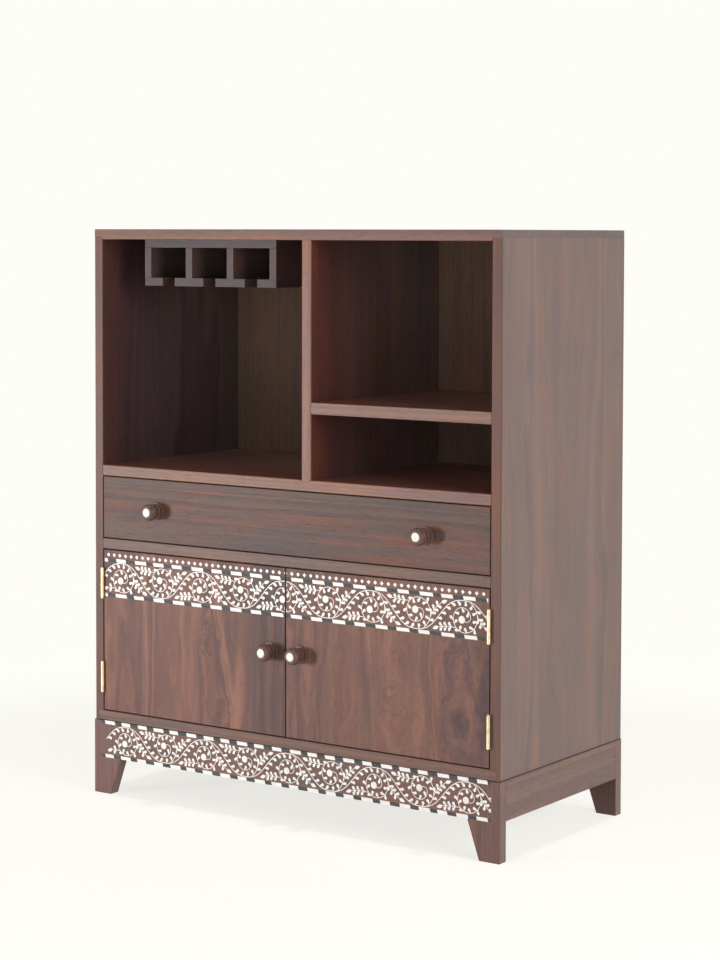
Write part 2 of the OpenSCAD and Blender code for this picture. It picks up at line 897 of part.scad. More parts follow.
// Filed leaf from its stalk at p, pointing in direction dir; turn is 1 or -1 and says
// to which side its tip curls
module leaf(p, dir, length, width, turn = 1) {
    stalk = 0.5;
    translate(p) rotate(dir) scale([length, turn * width])
        polygon([[0, -stalk / width], [0.78, -0.5], [1, 0.06], [0.68, 0.54],
                 [0, stalk / width]]);
}

// Pointed leaf at the end of a twig
module end_leaf(p, dir, length, width) {
    translate(p) rotate(dir) scale([length, width])
        polygon([[0, -0.1], [0.3, -0.5], [0.7, -0.38], [1, 0], [0.6, 0.45], [0.2, 0.4]]);
}

// Leaf that grows from a path at i, which may lie between two points, turned from the
// path by angle lean
module path_leaf(path, i, lean, length, width) {
    n = path_normal(path, round(i));
    root = path[floor(i)] + (path[ceil(i)] - path[floor(i)]) * (i - floor(i));
    leaf(root, atan2(n[1], n[0]) - 90 + lean, length, width, -sign(lean));
}

// Twig with pairs of leaves from a scroll into a corner of the cell; reach cuts it short
module sprig(start, middle, tip, reach, tip_dir) {
    twig_w = 1.3;
    steps = 4;
    last = ceil(steps * reach);
    path = [for (i = [0 : last])
        let (t = i / steps)
        start * pow(1 - t, 2) + middle * 2 * t * (1 - t) + tip * pow(t, 2)];
    stroke(path, twig_w, twig_w);
    for (i = [1 : last - 1], lean = [-50, 50]) path_leaf(path, i, lean, 10, 6);
    end_leaf(path[last], tip_dir, 13, 7);
}

// One scroll under a crest of the stem, with its flower at x = 0; h is the height of
// the field. left_reach and right_reach shorten the twigs at the ends of a band.
module scroll_cell(h, left_reach, right_reach) {
    crest_x = 2.5;
    flower_z = -4.5;
    k = h / door_field_h;
    stem_steps = 12;
    scroll_steps = 33;
    stem = [for (i = [0 : stem_steps])
        let (x = (i / stem_steps - 0.5) * pitch) [crest_x + x, stem_z(x, h)]];
    scroll = [for (i = [0 : scroll_steps])
        scroll_pt(scroll_from + (scroll_to - scroll_from) * i / scroll_steps, h)];
    stroke(stem, stem_w, stem_w);
    stroke(scroll, stem_w * 0.9, stem_w * 0.8);
    translate([0, flower_z * k]) circle(r = flower_r * k, $fn = 12);
    // Leaves along the rising stem and under its crest, on the side of the scroll
    for (i = [0.4, 1.6, 2.9, 4.5]) path_leaf(stem, i, -53, 10.8, 6.1);
    path_leaf(stem, 6.6, -78, 10 * k, 6.1);
    // Leaf on the falling stem, on the side of the next scroll
    path_leaf(stem, 11.4, 50, 10.8, 6.1);
    // Leaves inside the outer turn
    for (i = [0.7, 2.5, 4.4, 6.4, 8.4, 10.6]) path_leaf(scroll, i, -72, 10.2 * k, 5.9);
    // Leaves inside the inner turn, the last one long
    for (i = [13.4, 17.3, 21.4]) path_leaf(scroll, i, -68, 10 * k, 5.7);
    path_leaf(scroll, 25, -56, 11.4 * k, 5.8);
    // Leaves outside the scroll
    for (i = [2.2, 6.2, 14.6]) path_leaf(scroll, i, 46, 10.4 * k, 6);
    path_leaf(scroll, 10.6, 24, 10.8 * k, 5.4);
    // Twigs into the two lower corners
    sprig(scroll[12], [-31, -17.5 * k], [-47, -21 * k], left_reach, 198);
    sprig(scroll[3], [34, -7 * k], [53.5, -21 * k], right_reach, -20);
}

// Row of scrolls along the whole width, each turned over from the one before, and
// trimmed to the height of its field
module vine(h, shift) {
    intersection() {
        for (i = [-last_scroll : last_scroll])
            translate([i * pitch + shift, 0]) mirror([0, (i + last_scroll) % 2])
                scroll_cell(h, i == -last_scroll ? 0.4 : 1, i == last_scroll ? 0.6 : 1);
        translate([-half_w, 0.1 - h / 2]) square([carcass_w, h - 0.2]);
    }
}

// Bone blocks of one strip, cut a little unevenly by hand; the strip's top is at z
module dashes(z, dash_l, dash_pitch, phase) {
    uneven_l = 0.09 * dash_l;
    uneven_x = 0.03 * dash_pitch;
    count = ceil(half_w / dash_pitch);
    for (i = [-count : count]) {
        length = dash_l + uneven_l * sin(i * 131 + phase);
        start = (i + 0.25) * dash_pitch + uneven_x * sin(i * 77 + phase);
        translate([start, z])
            polygon([[0, 0], [length, 0], [length + dash_slant, -strip_h],
                     [dash_slant, -strip_h]]);
    }
}

// Row of diamonds along the top of the doors
module diamonds() {
    count = floor((in_x - diamond_w) / diamond_pitch);
    for (i = [-count : count])
        translate([i * diamond_pitch, band_top - diamond_w / 2])
            polygon([[-diamond_w / 2, 0], [0, diamond_w / 2], [diamond_w / 2, 0],
                     [0, -diamond_w / 2]]);
}

// The part of the door band that lies on one door: side is -1 left, 1 right
module door_window(side) {
    inner = meet_gap / 2 + meet_margin;
    outer = meet_gap / 2 + door_w - band_margin;
    translate([side < 0 ? -outer : inner, lower_strip_z - strip_h])
        square([outer - inner, band_top - lower_strip_z + strip_h]);
}

module door_strips() {
    for (z = [upper_strip_z, lower_strip_z])
        translate([-half_w, z - strip_h]) square([carcass_w, strip_h]);
}

module door_dashes() {
    dashes(upper_strip_z, door_dash_l, door_dash_pitch, 20);
    dashes(lower_strip_z, door_dash_l, door_dash_pitch, 200);
}

module door_vine() {
    translate([0, door_field_z]) vine(door_field_h, door_vine_shift);
}

module door_pocket_outline(side) {
    offset(delta = 0.001) intersection() {
        union() {
            door_vine();
            door_strips();
            diamonds();
        }
        door_window(side);
    }
}

module door_bone_outline(side) {
    offset(delta = -glue_line) intersection() {
        union() {
            door_vine();
            door_dashes();
            diamonds();
        }
        door_window(side);
    }
}

module door_black_outline(side) {
    offset(delta = -glue_line) intersection() {
        difference() {
            door_strips();
            door_dashes();
        }
        door_window(side);
    }
}

// The part of the base's front between x0 and x1 that carries the apron band
module apron_window(x0, x1) {
    left = max(x0, -apron_band_x);
    translate([left, apron_z]) square([min(x1, apron_band_x) - left, apron_h]);
}

module apron_strips() {
    for (z = [base_h, apron_z + strip_h])
        translate([-apron_band_x, z - strip_h]) square([2 * apron_band_x, strip_h]);
}

module apron_dashes() {
    dashes(base_h, apron_dash_l, apron_dash_pitch, 90);
    dashes(apron_z + strip_h, apron_dash_l, apron_dash_pitch, 300);
}

module apron_vine() {
    translate([0, apron_field_z]) vine(apron_field_h, apron_vine_shift);
}

// Pockets of the apron band between x0 and x1
module apron_pocket_outline(x0, x1) {
    offset(delta = 0.001) intersection() {
        union() {
            apron_vine();
            apron_strips();
        }
        apron_window(x0, x1);
    }
}

module apron_bone_outline(x0, x1) {
    offset(delta = -glue_line) intersection() {
        union() {
            apron_vine();
            apron_dashes();
        }
        apron_window(x0, x1);
    }
}

module apron_black_outline(x0, x1) {
    offset(delta = -glue_line) intersection() {
        difference() {
            apron_strips();
            apron_dashes();
        }
        apron_window(x0, x1);
    }
}

// Extrudes an outline back from the face at y, as thick as the inlay
module inlaid(y) {
    translate([0, y + inlay_t, 0]) rotate([90, 0, 0]) linear_extrude(inlay_t) children();
}

// The same outline as a cut that passes out through the face
module into_front(y) {
    translate([0, y + inlay_t, 0]) rotate([90, 0, 0])
        linear_extrude(inlay_t + over) children();
}

module apron_pockets(x0, x1) {
    into_front(base_y) apron_pocket_outline(x0, x1);
}

module left_door_bone_inlay() {
    color(bone) inlaid(front_y) door_bone_outline(-1);
}

module right_door_bone_inlay() {
    color(bone) inlaid(front_y) door_bone_outline(1);
}

module left_door_black_inlay() {
    color(black) inlaid(front_y) door_black_outline(-1);
}

module right_door_black_inlay() {
    color(black) inlaid(front_y) door_black_outline(1);
}

module apron_bone_inlay() {
    color(bone) {
        inlaid(base_y) apron_bone_outline(-half_w, apron_seam);
        inlaid(base_y) apron_bone_outline(apron_seam, half_w);
    }
}

module apron_black_inlay() {
    color(black) inlaid(base_y) apron_black_outline(-half_w, half_w);
}

top_panel();
left_side_panel();
right_side_panel();
back_panel();
divider();
right_shelf();
compartment_floor();
dust_board();
bottom_board();
rack_top_board();
rack_left_wall();
rack_mid_left_wall();
rack_mid_right_wall();
rack_right_wall();
rack_lips();
front_left_leg();
front_right_leg();
back_left_leg();
back_right_leg();
front_apron();
back_apron();
left_apron();
right_apron();
corner_blocks();
left_runner();
right_runner();
hinge_frame_leaves();
hinge_pins();
frame_leaf_screws();
door_catches();
apron_bone_inlay();
apron_black_inlay();
drawer_front();
drawer_left_side();
drawer_right_side();
drawer_back();
drawer_bottom();
drawer_left_knob();
drawer_right_knob();
drawer_knob_discs();
drawer_knob_screws();
left_door_panel();
left_door_knob();
left_door_knob_disc();
left_door_knob_screw();
left_door_leaves();
left_door_leaf_screws();
left_strike_plate();
left_door_bone_inlay();
left_door_black_inlay();
right_door_panel();
right_door_knob();
right_door_knob_disc();
right_door_knob_screw();
right_door_leaves();
right_door_leaf_screws();
right_strike_plate();
right_door_bone_inlay();
right_door_black_inlay();
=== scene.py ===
# %% [markdown]
# # Dressing an inlaid bar cabinet
#
# The cabinet's solids come from CAD, with every board, hinge, knob and slip of bone
# already in its true place. Here they get what a workshop gives them last: stained and
# lacquered sheesham, polished bone, pale brass. A few small things that a lathe, a press
# or a screw maker shapes are modelled afresh, and at the end come the light and the
# camera.

# %% Load the solids and keep their box
from math import copysign, cos, pi, radians, sin

import bmesh
import bpy
from mathutils import Matrix, Vector


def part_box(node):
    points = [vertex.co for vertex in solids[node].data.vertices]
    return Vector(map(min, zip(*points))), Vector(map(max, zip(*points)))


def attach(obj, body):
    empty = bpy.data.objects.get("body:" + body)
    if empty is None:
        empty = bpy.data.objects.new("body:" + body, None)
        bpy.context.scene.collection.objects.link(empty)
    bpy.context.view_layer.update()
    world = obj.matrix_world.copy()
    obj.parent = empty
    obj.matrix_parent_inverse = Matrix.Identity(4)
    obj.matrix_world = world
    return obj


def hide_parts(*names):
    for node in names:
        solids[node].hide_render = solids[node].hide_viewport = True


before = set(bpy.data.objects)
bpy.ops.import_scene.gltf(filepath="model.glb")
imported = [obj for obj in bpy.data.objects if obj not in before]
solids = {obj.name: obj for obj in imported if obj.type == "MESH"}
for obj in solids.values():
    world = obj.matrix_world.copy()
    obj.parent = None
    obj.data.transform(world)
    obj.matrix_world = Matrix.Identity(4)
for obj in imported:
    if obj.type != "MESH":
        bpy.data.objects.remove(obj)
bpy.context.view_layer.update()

# %% [markdown]
# ## Where things are
#
# Every later step needs a few landmarks: the plane of the fronts, the inner faces of the
# sides, the top of the base.

# %% Landmarks
MM = 0.001


def low(node):
    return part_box(node)[0]


def high(node):
    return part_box(node)[1]


FRONT = low("drawer_front").y
INNER_X = low("right_side_panel").x
UNDER_TOP = low("top_panel").z
BACK_FACE = low("back_panel").y
BASE_TOP = low("right_side_panel").z
CUPBOARD_FLOOR = high("bottom_board").z
print("front plane at y", round(FRONT, 4), "inner faces at x", round(INNER_X, 4))

# %% [markdown]
# ## Short names for shader nodes
#
# A procedural material is a small machine of connected nodes. Writing each node and
# each link by hand hides the idea behind the typing, so these few helpers make a node,
# set its inputs and wire it in one line. A value is set directly, and another node's
# output is linked. An output knows the tree that it belongs to, so a new node joins the
# tree of what is linked to it, and hardly any call has to name one.

# %% A node with its inputs set or linked
def is_output(value):
    return isinstance(value, bpy.types.NodeSocket)


def wire(made, inputs):
    """Sets each input to its value, or links it to another node's output."""
    for name, value in inputs.items():
        if is_output(value):
            made.id_data.links.new(value, made.inputs[name])
        else:
            made.inputs[name].default_value = value


def node(kind, inputs, tree=None, **settings):
    """A new node in this tree, or else in the tree that its inputs come from."""
    tree = tree or next(value.id_data for value in inputs.values() if is_output(value))
    made = tree.nodes.new("ShaderNode" + kind)
    for name, value in settings.items():
        setattr(made, name, value)
    wire(made, inputs)
    return made


# %% Arithmetic on numbers and on positions
def calc(operation, *values, clamp=False):
    inputs = dict(enumerate(values))
    return node("Math", inputs, operation=operation, use_clamp=clamp).outputs[0]


def vector_calc(operation, *values):
    made = node("VectorMath", dict(enumerate(values)), operation=operation)
    return made.outputs["Value" if operation in {"DOT_PRODUCT", "LENGTH"} else "Vector"]


def coordinate(place, axis):
    """The X, Y or Z of a place."""
    return node("SeparateXYZ", {0: place}).outputs[axis]


def swayed(base, pattern, amount):
    """The base, moved up and down by a pattern that runs from 0 to 1."""
    return calc("MULTIPLY_ADD", calc("SUBTRACT", pattern, 0.5), amount, base)


def between(value, at_nothing, at_one):
    """Spreads a value that runs from 0 to 1 over the way between two others."""
    return node("MapRange", {0: value, 3: at_nothing, 4: at_one}).outputs[0]


def part_way(value, start, end, **settings):
    """0 at start and below, 1 at end and above."""
    return node("MapRange", {0: value, 1: start, 2: end}, **settings).outputs[0]


def step_up(value, start, end):
    """0 below start, 1 above end, and a smooth rise between them."""
    return part_way(value, start, end, interpolation_type="SMOOTHSTEP")


def noise(place, scale, detail=2.0, roughness=0.5, dimensions="3D"):
    key = "W" if dimensions == "1D" else "Vector"
    made = node("TexNoise", {key: place, "Scale": scale, "Detail": detail,
                             "Roughness": roughness}, noise_dimensions=dimensions)
    return made.outputs[0]


# %% Colours
def srgb(red, green, blue):
    """A colour as read off a screen, 0 to 255, in the linear form that shaders use."""
    def linear(value):
        value /= 255
        return value / 12.92 if value <= 0.04045 else ((value + 0.055) / 1.055) ** 2.4
    return (linear(red), linear(green), linear(blue), 1.0)


def blend(factor, first, second, mode="MIX"):
    mixed = node("Mix", {0: factor, 6: first, 7: second}, data_type="RGBA",
                 blend_type=mode, clamp_factor=True)
    return mixed.outputs[2]


def ramp(value, stops, interpolation="LINEAR"):
    made = node("ValToRGB", {0: value})
    made.color_ramp.interpolation = interpolation
    points = made.color_ramp.elements
    while len(points) < len(stops):
        points.new(0.5)
    for point, (position, colour) in zip(points, stops):
        point.position, point.color = position, colour
    return made.outputs[0]


# %% A new finish: its shader and the place on the piece
def new_finish(name):
    finish = bpy.data.materials.new(name)
    finish.use_nodes = True
    tree = finish.node_tree
    shader = tree.nodes["Principled BSDF"]
    place = node("TexCoord", {}, tree).outputs["Object"]
    return finish, shader, place


def set_bump(shader, height, strength, distance):
    """Raises and sinks the surface by up to this distance in millimetres."""
    bump = node("Bump", {"Height": height, "Strength": strength,
                         "Distance": distance * MM})
    wire(shader, {"Normal": bump.outputs[0]})


print("white as a shader sees it:", srgb(255, 255, 255))

# %% [markdown]
# ## Sheesham
#
# A board is a slice through a tree, and its figure is the slice through the yearly
# rings. So the wood is not painted on. For each point the shader works out how far it
# lies from the pith, the heart of the trunk, and the colour of its ring follows from
# that. Faces along the board then show long streaks and arches, and end grain shows
# rings, without any mapping. A pith close behind the face gives arches, and one far away
# gives straight, quiet grain.
#
# Four things make it sheesham: the rings wander, dark pigment runs through some of them,
# pores show as short dark dashes, and knots push the rings aside.

# %% Which way the trunk ran
# For each direction of grain: the axis along it and the two axes across it
ACROSS = {"X": ("X", "Y", "Z"), "Y": ("Y", "X", "Z"), "Z": ("Z", "X", "Y")}


def along_and_across(place, grain):
    return [coordinate(place, axis) for axis in ACROSS[grain]]


# %% [markdown]
# Each door is glued from several staves, each of them from another part of the tree.
# A colour ramp with constant steps is a handy table for that: its position is the place
# across the panel, and its three channels hold the stave's tone and where its pith lay.

# %% Staves across a panel
def stave_table(across, staves, start, end):
    """Tone, pith across and pith behind for the stave at this place, each 0 to 1."""
    part = part_way(across, start, end)
    stops = [((edge - start) / (end - start), (tone, pith, behind, 1.0))
             for edge, tone, pith, behind in staves]
    table = node("SeparateColor", {0: ramp(part, stops, "CONSTANT")})
    return table.outputs[0], table.outputs[1], table.outputs[2]


# %% [markdown]
# Near a knot the rings bulge round it. That needs no new pattern: a smooth hill is added
# to the distance from the pith, and the rings close round it by themselves, as contour
# lines close round a hilltop.

# %% Knots
KNOT_RIM, KNOT_HEART = 0.1, 0.95


def knot_hills(along, across, knots):
    """The sum of the hills, a mask of grey cores and one of spots that glow."""
    hills, cores, glows = 0.0, 0.0, 0.0
    if not knots:
        return hills, cores, glows
    spot = node("CombineXYZ", {0: along, 1: across}).outputs[0]
    # Made crooked, so that no knot is a clean ellipse
    across = swayed(across, noise(spot, 38.0), 0.05)
    along = swayed(along, noise(spot, 23.0), 0.09)
    for knot_across, knot_along, width, height, hill, grey, glow in knots:
        a = calc("DIVIDE", calc("SUBTRACT", across, knot_across), width)
        b = calc("DIVIDE", calc("SUBTRACT", along, knot_along), height)
        far = calc("ADD", calc("MULTIPLY", a, a), calc("MULTIPLY", b, b))
        near = calc("DIVIDE", 1.0, calc("ADD", 1.0, far))
        near = calc("MULTIPLY", near, near)
        hills = calc("MULTIPLY_ADD", near, hill, hills)
        heart = step_up(near, KNOT_RIM, KNOT_HEART)
        cores = calc("MULTIPLY_ADD", heart, grey, cores, clamp=True)
        glows = calc("MULTIPLY_ADD", heart, glow, glows, clamp=True)
    return hills, cores, glows


# %% [markdown]
# The rings themselves are noise in one dimension, read at the distance from the pith.
# The place is squeezed along the grain first, so that everything in the wood is long and
# slim, and a slow drift makes the rings wander as they do in a trunk that never grew
# quite straight.

# %% Rings round the pith
RING = 5.2 * MM
WANDER = 200 * MM
CLOUD_SCALE = 9.0


def ring_pattern(parts, pith, seed, bulge, curl):
    """Light and dark rings, 0 to 1, and the stretched place that follows the grain."""
    along, first, second = parts
    stretched = node("CombineXYZ", {0: calc("MULTIPLY_ADD", along, curl, seed * 0.731),
                                    1: calc("ADD", first, seed * 0.377),
                                    2: calc("ADD", second, seed * 0.519)}).outputs[0]
    drift = noise(stretched, CLOUD_SCALE, 3.0, 0.55)
    offset = node("CombineXYZ", {0: calc("SUBTRACT", first, pith[0]),
                                 1: calc("SUBTRACT", second, pith[1])}).outputs[0]
    radius = swayed(vector_calc("LENGTH", offset), drift, curl * WANDER)
    radius = calc("ADD", radius, bulge)
    rings = noise(calc("DIVIDE", radius, RING), 1.0, 3.0, 0.6, "1D")
    return rings, stretched


# %% The rings of one board, or of a panel glued from staves
NEAREST_PITH, PITH_SPREAD = 0.03, 0.35


def board_rings(place, grain, seed, box, pith, staves, knots, curl):
    """Rings, stretched place, tone of the stave, grey cores and warm glows of knots."""
    parts = along_and_across(place, grain)
    tone = None
    if staves:
        side = "XYZ".index(ACROSS[grain][1])
        start, end = box[0][side], box[1][side]
        tone, near, behind = stave_table(parts[1], staves, start, end)
        pith = (calc("MULTIPLY_ADD", near, end - start, start),
                calc("MULTIPLY_ADD", behind, PITH_SPREAD, NEAREST_PITH))
    bulge, cores, glows = knot_hills(parts[0], parts[1], knots)
    rings, stretched = ring_pattern(parts, pith, seed, bulge, curl)
    return rings, stretched, tone, cores, glows


# %% [markdown]
# Stained sheesham hardly varies from light to dark. What varies is its hue: pinkish
# streaks next to purple-grey and olive-grey ones, all about equally light. So each stain
# has a middle colour and three colours that the streaks lean to, and the rings change
# the lightness only a little. Rings, slim streaks and wide bands together say where the
# wood leans to pink or purple, and broad patches lean to olive.

# %% Stains
STAIN = {  # middle, pink streak, purple streak, olive streak
    "front": ((161, 119, 105), (176, 123, 100), (153, 115, 109), (157, 122, 101)),
    "lip": ((137, 101, 89), (150, 105, 85), (130, 98, 93), (133, 104, 86)),
    "end": ((115, 103, 101), (121, 105, 99), (112, 102, 101), (112, 104, 99)),
    # The rail colour is partly tone and partly painted shade low on the front
    "rail": ((121, 92, 82), (136, 97, 81), (109, 87, 83), (116, 93, 80)),
    "stile": ((110, 73, 61), (120, 75, 60), (102, 70, 63), (105, 73, 58)),
    "side": ((129, 108, 103), (136, 110, 101), (125, 106, 103), (125, 109, 101)),
    "drawer": ((107, 85, 80), (125, 87, 76), (99, 85, 83), (107, 90, 80)),
    "door": ((132, 95, 85), (147, 104, 90), (120, 90, 88), (126, 98, 86)),
    "base": ((116, 83, 76), (127, 84, 73), (105, 80, 77), (111, 83, 73)),
    "plinth": ((133, 107, 100), (140, 108, 98), (127, 105, 101), (129, 107, 97)),
    "rack": ((75, 58, 61), (82, 54, 45), (65, 54, 63), (71, 58, 54)),
    "inner": ((142, 114, 98), (156, 116, 95), (128, 106, 98), (136, 116, 93)),
    "backing": ((162, 131, 111), (172, 131, 109), (152, 124, 110), (158, 133, 108)),
    "rack_inside": ((104, 92, 90), (112, 92, 86), (98, 90, 92), (102, 92, 86)),
    # Painted shade: the dark fronts of the back legs and the back apron, under the cabinet
    "under": ((84, 59, 54), (91, 61, 52), (76, 56, 55), (82, 60, 51)),
}
PORE_TINT = srgb(150, 138, 134)
# Painted shade for the seam over the base and along the front arrises
SEAM_SHADE_TINT = srgb(92, 80, 76)
KNOT_TINT = srgb(172, 190, 204)
GLOW_TINT = srgb(282, 262, 244)
DARK_BOARD = srgb(210, 224, 238)
LIGHT_BOARD = srgb(255, 255, 252)
print("stains:", ", ".join(STAIN))


# %% The colour that the streaks lean to
STREAK_SCALE, OLIVE_SCALE = 150.0, 34.0


def leaning(stain, hue, second):
    """The middle colour, leaning to pink or purple by hue and to olive by second."""
    middle, pink, purple, olive = (srgb(*colour) for colour in STAIN[stain])
    colour = ramp(hue, [(0.3, purple), (0.49, middle), (0.7, pink)])
    lean = calc("MULTIPLY", step_up(second, 0.5, 0.72), 0.75)
    return blend(lean, colour, olive)


def streak_hue(rings, stretched, figure, slim, band):
    """A hue from rings, slim streaks and wide bands, and the patches of olive."""
    drawn = vector_calc("MULTIPLY", stretched, (0.6, 1.0, 1.0))
    streaks = noise(drawn, STREAK_SCALE)
    olive = noise(vector_calc("ADD", stretched, (3.7, 1.9, 0.6)), OLIVE_SCALE)
    wide = noise(vector_calc("ADD", stretched, (0.9, 2.3, 4.1)), band)
    hue = calc("MULTIPLY_ADD", rings, figure, -0.25)
    hue = swayed(hue, streaks, slim)
    return calc("MULTIPLY_ADD", wide, 1.5 - figure, hue), olive


def scaled(colour, factor):
    factors = node("CombineXYZ", {0: factor, 1: factor, 2: factor}, colour.id_data)
    return vector_calc("MULTIPLY", colour, factors.outputs[0])


# %% [markdown]
# The inside of the cabinet was stained redder and darker than the outside, and painted
# shade and light lie over that stain. Inside is a place, not a board: the same side panel
# is pale outside and dark inside. So one mask, a box just behind the front edges, serves
# every board. Within it the colour changes with the depth, red and dark behind the front
# edges and browner towards the back. That change is partly stain and partly painted shade
# and light for how far in the light reaches. The walls, the divider, the boards, the back
# and the doors each have a row of their own.

# %% The mask of the inside, and the depth in it
HAIR = 0.3 * MM


def inside_mask(place):
    x, y, z = (coordinate(place, axis) for axis in "XYZ")
    mask = calc("LESS_THAN", calc("ABSOLUTE", x), INNER_X + HAIR)
    for part in (step_up(y, FRONT + 1.2 * MM, FRONT + 3 * MM),
                 calc("LESS_THAN", y, BACK_FACE + HAIR),
                 calc("GREATER_THAN", z, CUPBOARD_FLOOR - HAIR),
                 calc("LESS_THAN", z, UNDER_TOP + HAIR)):
        mask = calc("MULTIPLY", mask, part)
    return mask


def depth_inside(place):
    """0 at the front plane and 1 at the back panel."""
    return part_way(coordinate(place, "Y"), FRONT, BACK_FACE)


# %% [markdown]
# A tint is what the stain is multiplied by, and some tints are over 1. A colour ramp
# quietly cuts its colours off at 1, so the table holds halves, and what comes out of the
# ramp is doubled.

# %% Stain and painted shade by depth
TINT_UNIT = 2.0
# Each row is partly the inside stain and partly painted shade and light, by depth
INSIDE_STAIN_AND_SHADE = {  # depth, then half of what red, green and blue are multiplied by
    "wall": [(0.0, 0.24, 0.135, 0.11), (0.18, 0.21, 0.155, 0.18), (0.38, 0.3, 0.29, 0.34),
             (0.62, 0.58, 0.58, 0.64), (0.9, 0.48, 0.56, 0.6)],
    "divider": [(0.0, 0.24, 0.135, 0.11), (0.18, 0.21, 0.155, 0.18),
                (0.38, 0.31, 0.33, 0.39), (0.62, 0.54, 0.7, 0.85), (0.9, 0.46, 0.7, 0.85)],
    "board": [(0.0, 0.31, 0.18, 0.155), (0.4, 0.47, 0.5, 0.55), (1.0, 0.68, 0.86, 1.0)],
    "back": [(0.0, 0.48, 0.5, 0.54), (1.0, 0.5, 0.53, 0.58)],
    # The door row darkens the edges of the doors and the drawer front with the painted
    # shadow of the gaps round them
    "door": [(0.0, 0.1, 0.07, 0.06), (0.03, 0.16, 0.12, 0.1), (0.042, 0.4, 0.33, 0.33)],
}
MEETING_EDGE = 10 * MM
DOOR_EDGE_DEPTH = 0.035
print("tints inside:", ", ".join(INSIDE_STAIN_AND_SHADE))


def stain_and_shade_inside(place, colour, kind):
    """The colour, with stain and painted shade set by its depth where it lies inside the
    carcass.
    """
    depth = depth_inside(place)
    mask = inside_mask(place)
    if kind == "door":
        # The edges where the doors meet have the stain of the front, and the other edges
        # get the painted shadow of the gaps
        aside = calc("ABSOLUTE", coordinate(place, "X"))
        aside = calc("GREATER_THAN", aside, MEETING_EDGE)
        behind = calc("GREATER_THAN", depth, DOOR_EDGE_DEPTH)
        mask = calc("MULTIPLY", mask, calc("MAXIMUM", aside, behind))
    stops = [(at, (*tint, 1.0)) for at, *tint in INSIDE_STAIN_AND_SHADE[kind]]
    tint = scaled(ramp(depth, stops), TINT_UNIT)
    return blend(mask, colour, tint, "MULTIPLY")


# %% [markdown]
# Some faces took the stain differently. The front edges of the sides, the shelf, the
# compartment floor, the rack and the base have a stain of their own, and so do the ends
# of the top. The fronts of the back legs and the back apron are darker with painted
# shade, for the little light that reaches them under the cabinet. Masks find those faces
# by the plane they lie in. Dark hairlines of painted shade lie where the carcass stands on
# its base and along the front arrises. The long edges are a little lighter, partly rubbed
# and partly a painted highlight.

# %% Masks of faces, painted shade lines and edges
ARRIS_LINE, ARRIS_SHADE = 3.5 * MM, 0.42
EDGE_WEAR_AND_HIGHLIGHT = 2.2 * MM


def front_mask(place, front):
    """1 on a front face that lies in the plane y = front."""
    return calc("LESS_THAN", coordinate(place, "Y"), front + 0.4 * MM)


def end_mask(place, end):
    """1 on the two ends of a board, at x = end and x = -end."""
    aside = calc("ABSOLUTE", coordinate(place, "X"))
    return calc("GREATER_THAN", aside, end - 0.6 * MM)


def dark_arris(place, colour, front):
    """The colour, darker in a narrow line behind the front arris of a side: painted shade
    of the eased edge.
    """
    arris = calc("LESS_THAN", coordinate(place, "Y"), front + ARRIS_LINE)
    return scaled(colour, calc("MULTIPLY_ADD", arris, -ARRIS_SHADE, 1.0))


def painted_seam_shade_mask(place, front):
    """Painted shade as dark hairlines: in the gap where the carcass stands on its base, and
    along a front arris.
    """
    off = calc("SUBTRACT", coordinate(place, "Z"), BASE_TOP)
    off = calc("ABSOLUTE", off)
    base_gap_shade = calc("SUBTRACT", 1.0, step_up(off, 0.5 * MM, 1.3 * MM))
    back = calc("SUBTRACT", coordinate(place, "Y"), front)
    behind = step_up(back, 0.3 * MM, 0.5 * MM)
    arris = calc("SUBTRACT", behind, step_up(back, 1.2 * MM, 1.8 * MM))
    return calc("MAXIMUM", base_gap_shade, calc("MULTIPLY", arris, 0.6))


def edge_mask(place, box, width):
    """1 on the long edges of a box-shaped board, fading out over the width."""
    centre = [(a + b) / 2 for a, b in zip(*box)]
    half = [(b - a) / 2 for a, b in zip(*box)]
    away = vector_calc("ABSOLUTE", vector_calc("SUBTRACT", place, centre))
    depth = vector_calc("SUBTRACT", half, away)
    near = vector_calc("DIVIDE", depth, (width, width, width))
    near = vector_calc("SUBTRACT", (1.0, 1.0, 1.0), near)
    near = vector_calc("MAXIMUM", near, (0.0, 0.0, 0.0))
    total = vector_calc("DOT_PRODUCT", near, (1.0, 1.0, 1.0))
    return calc("SUBTRACT", total, 1.0, clamp=True)


# %% [markdown]
# Over the colour comes what every board has. The rings make it a little lighter and
# darker, the pores stand in it as short dark dashes, painted shade darkens the seams, and
# the edges are lighter, partly worn by hands and cloths and partly a painted highlight.

# %% Lightness, pores and wear
PORE_SCALE = 1100.0


def shaded(colour, rings, cloud, figure, lightness):
    """The rings and slow clouds change the lightness a little."""
    contrast = 0.3 + 0.5 * figure
    shade = calc("MULTIPLY_ADD", rings, contrast, 1 - 0.5 * contrast)
    shade = swayed(shade, cloud, 0.3)
    return scaled(colour, calc("MULTIPLY", shade, lightness))


def with_pores(colour, stretched, amount):
    """The colour with short dark pores along the grain, and the pores' own pattern."""
    fine = vector_calc("MULTIPLY", stretched, (0.5, 1.0, 1.0))
    pores = noise(fine, PORE_SCALE, roughness=0.6)
    mask = calc("MULTIPLY", step_up(pores, 0.55, 0.72), amount)
    return blend(mask, colour, PORE_TINT, "MULTIPLY"), pores


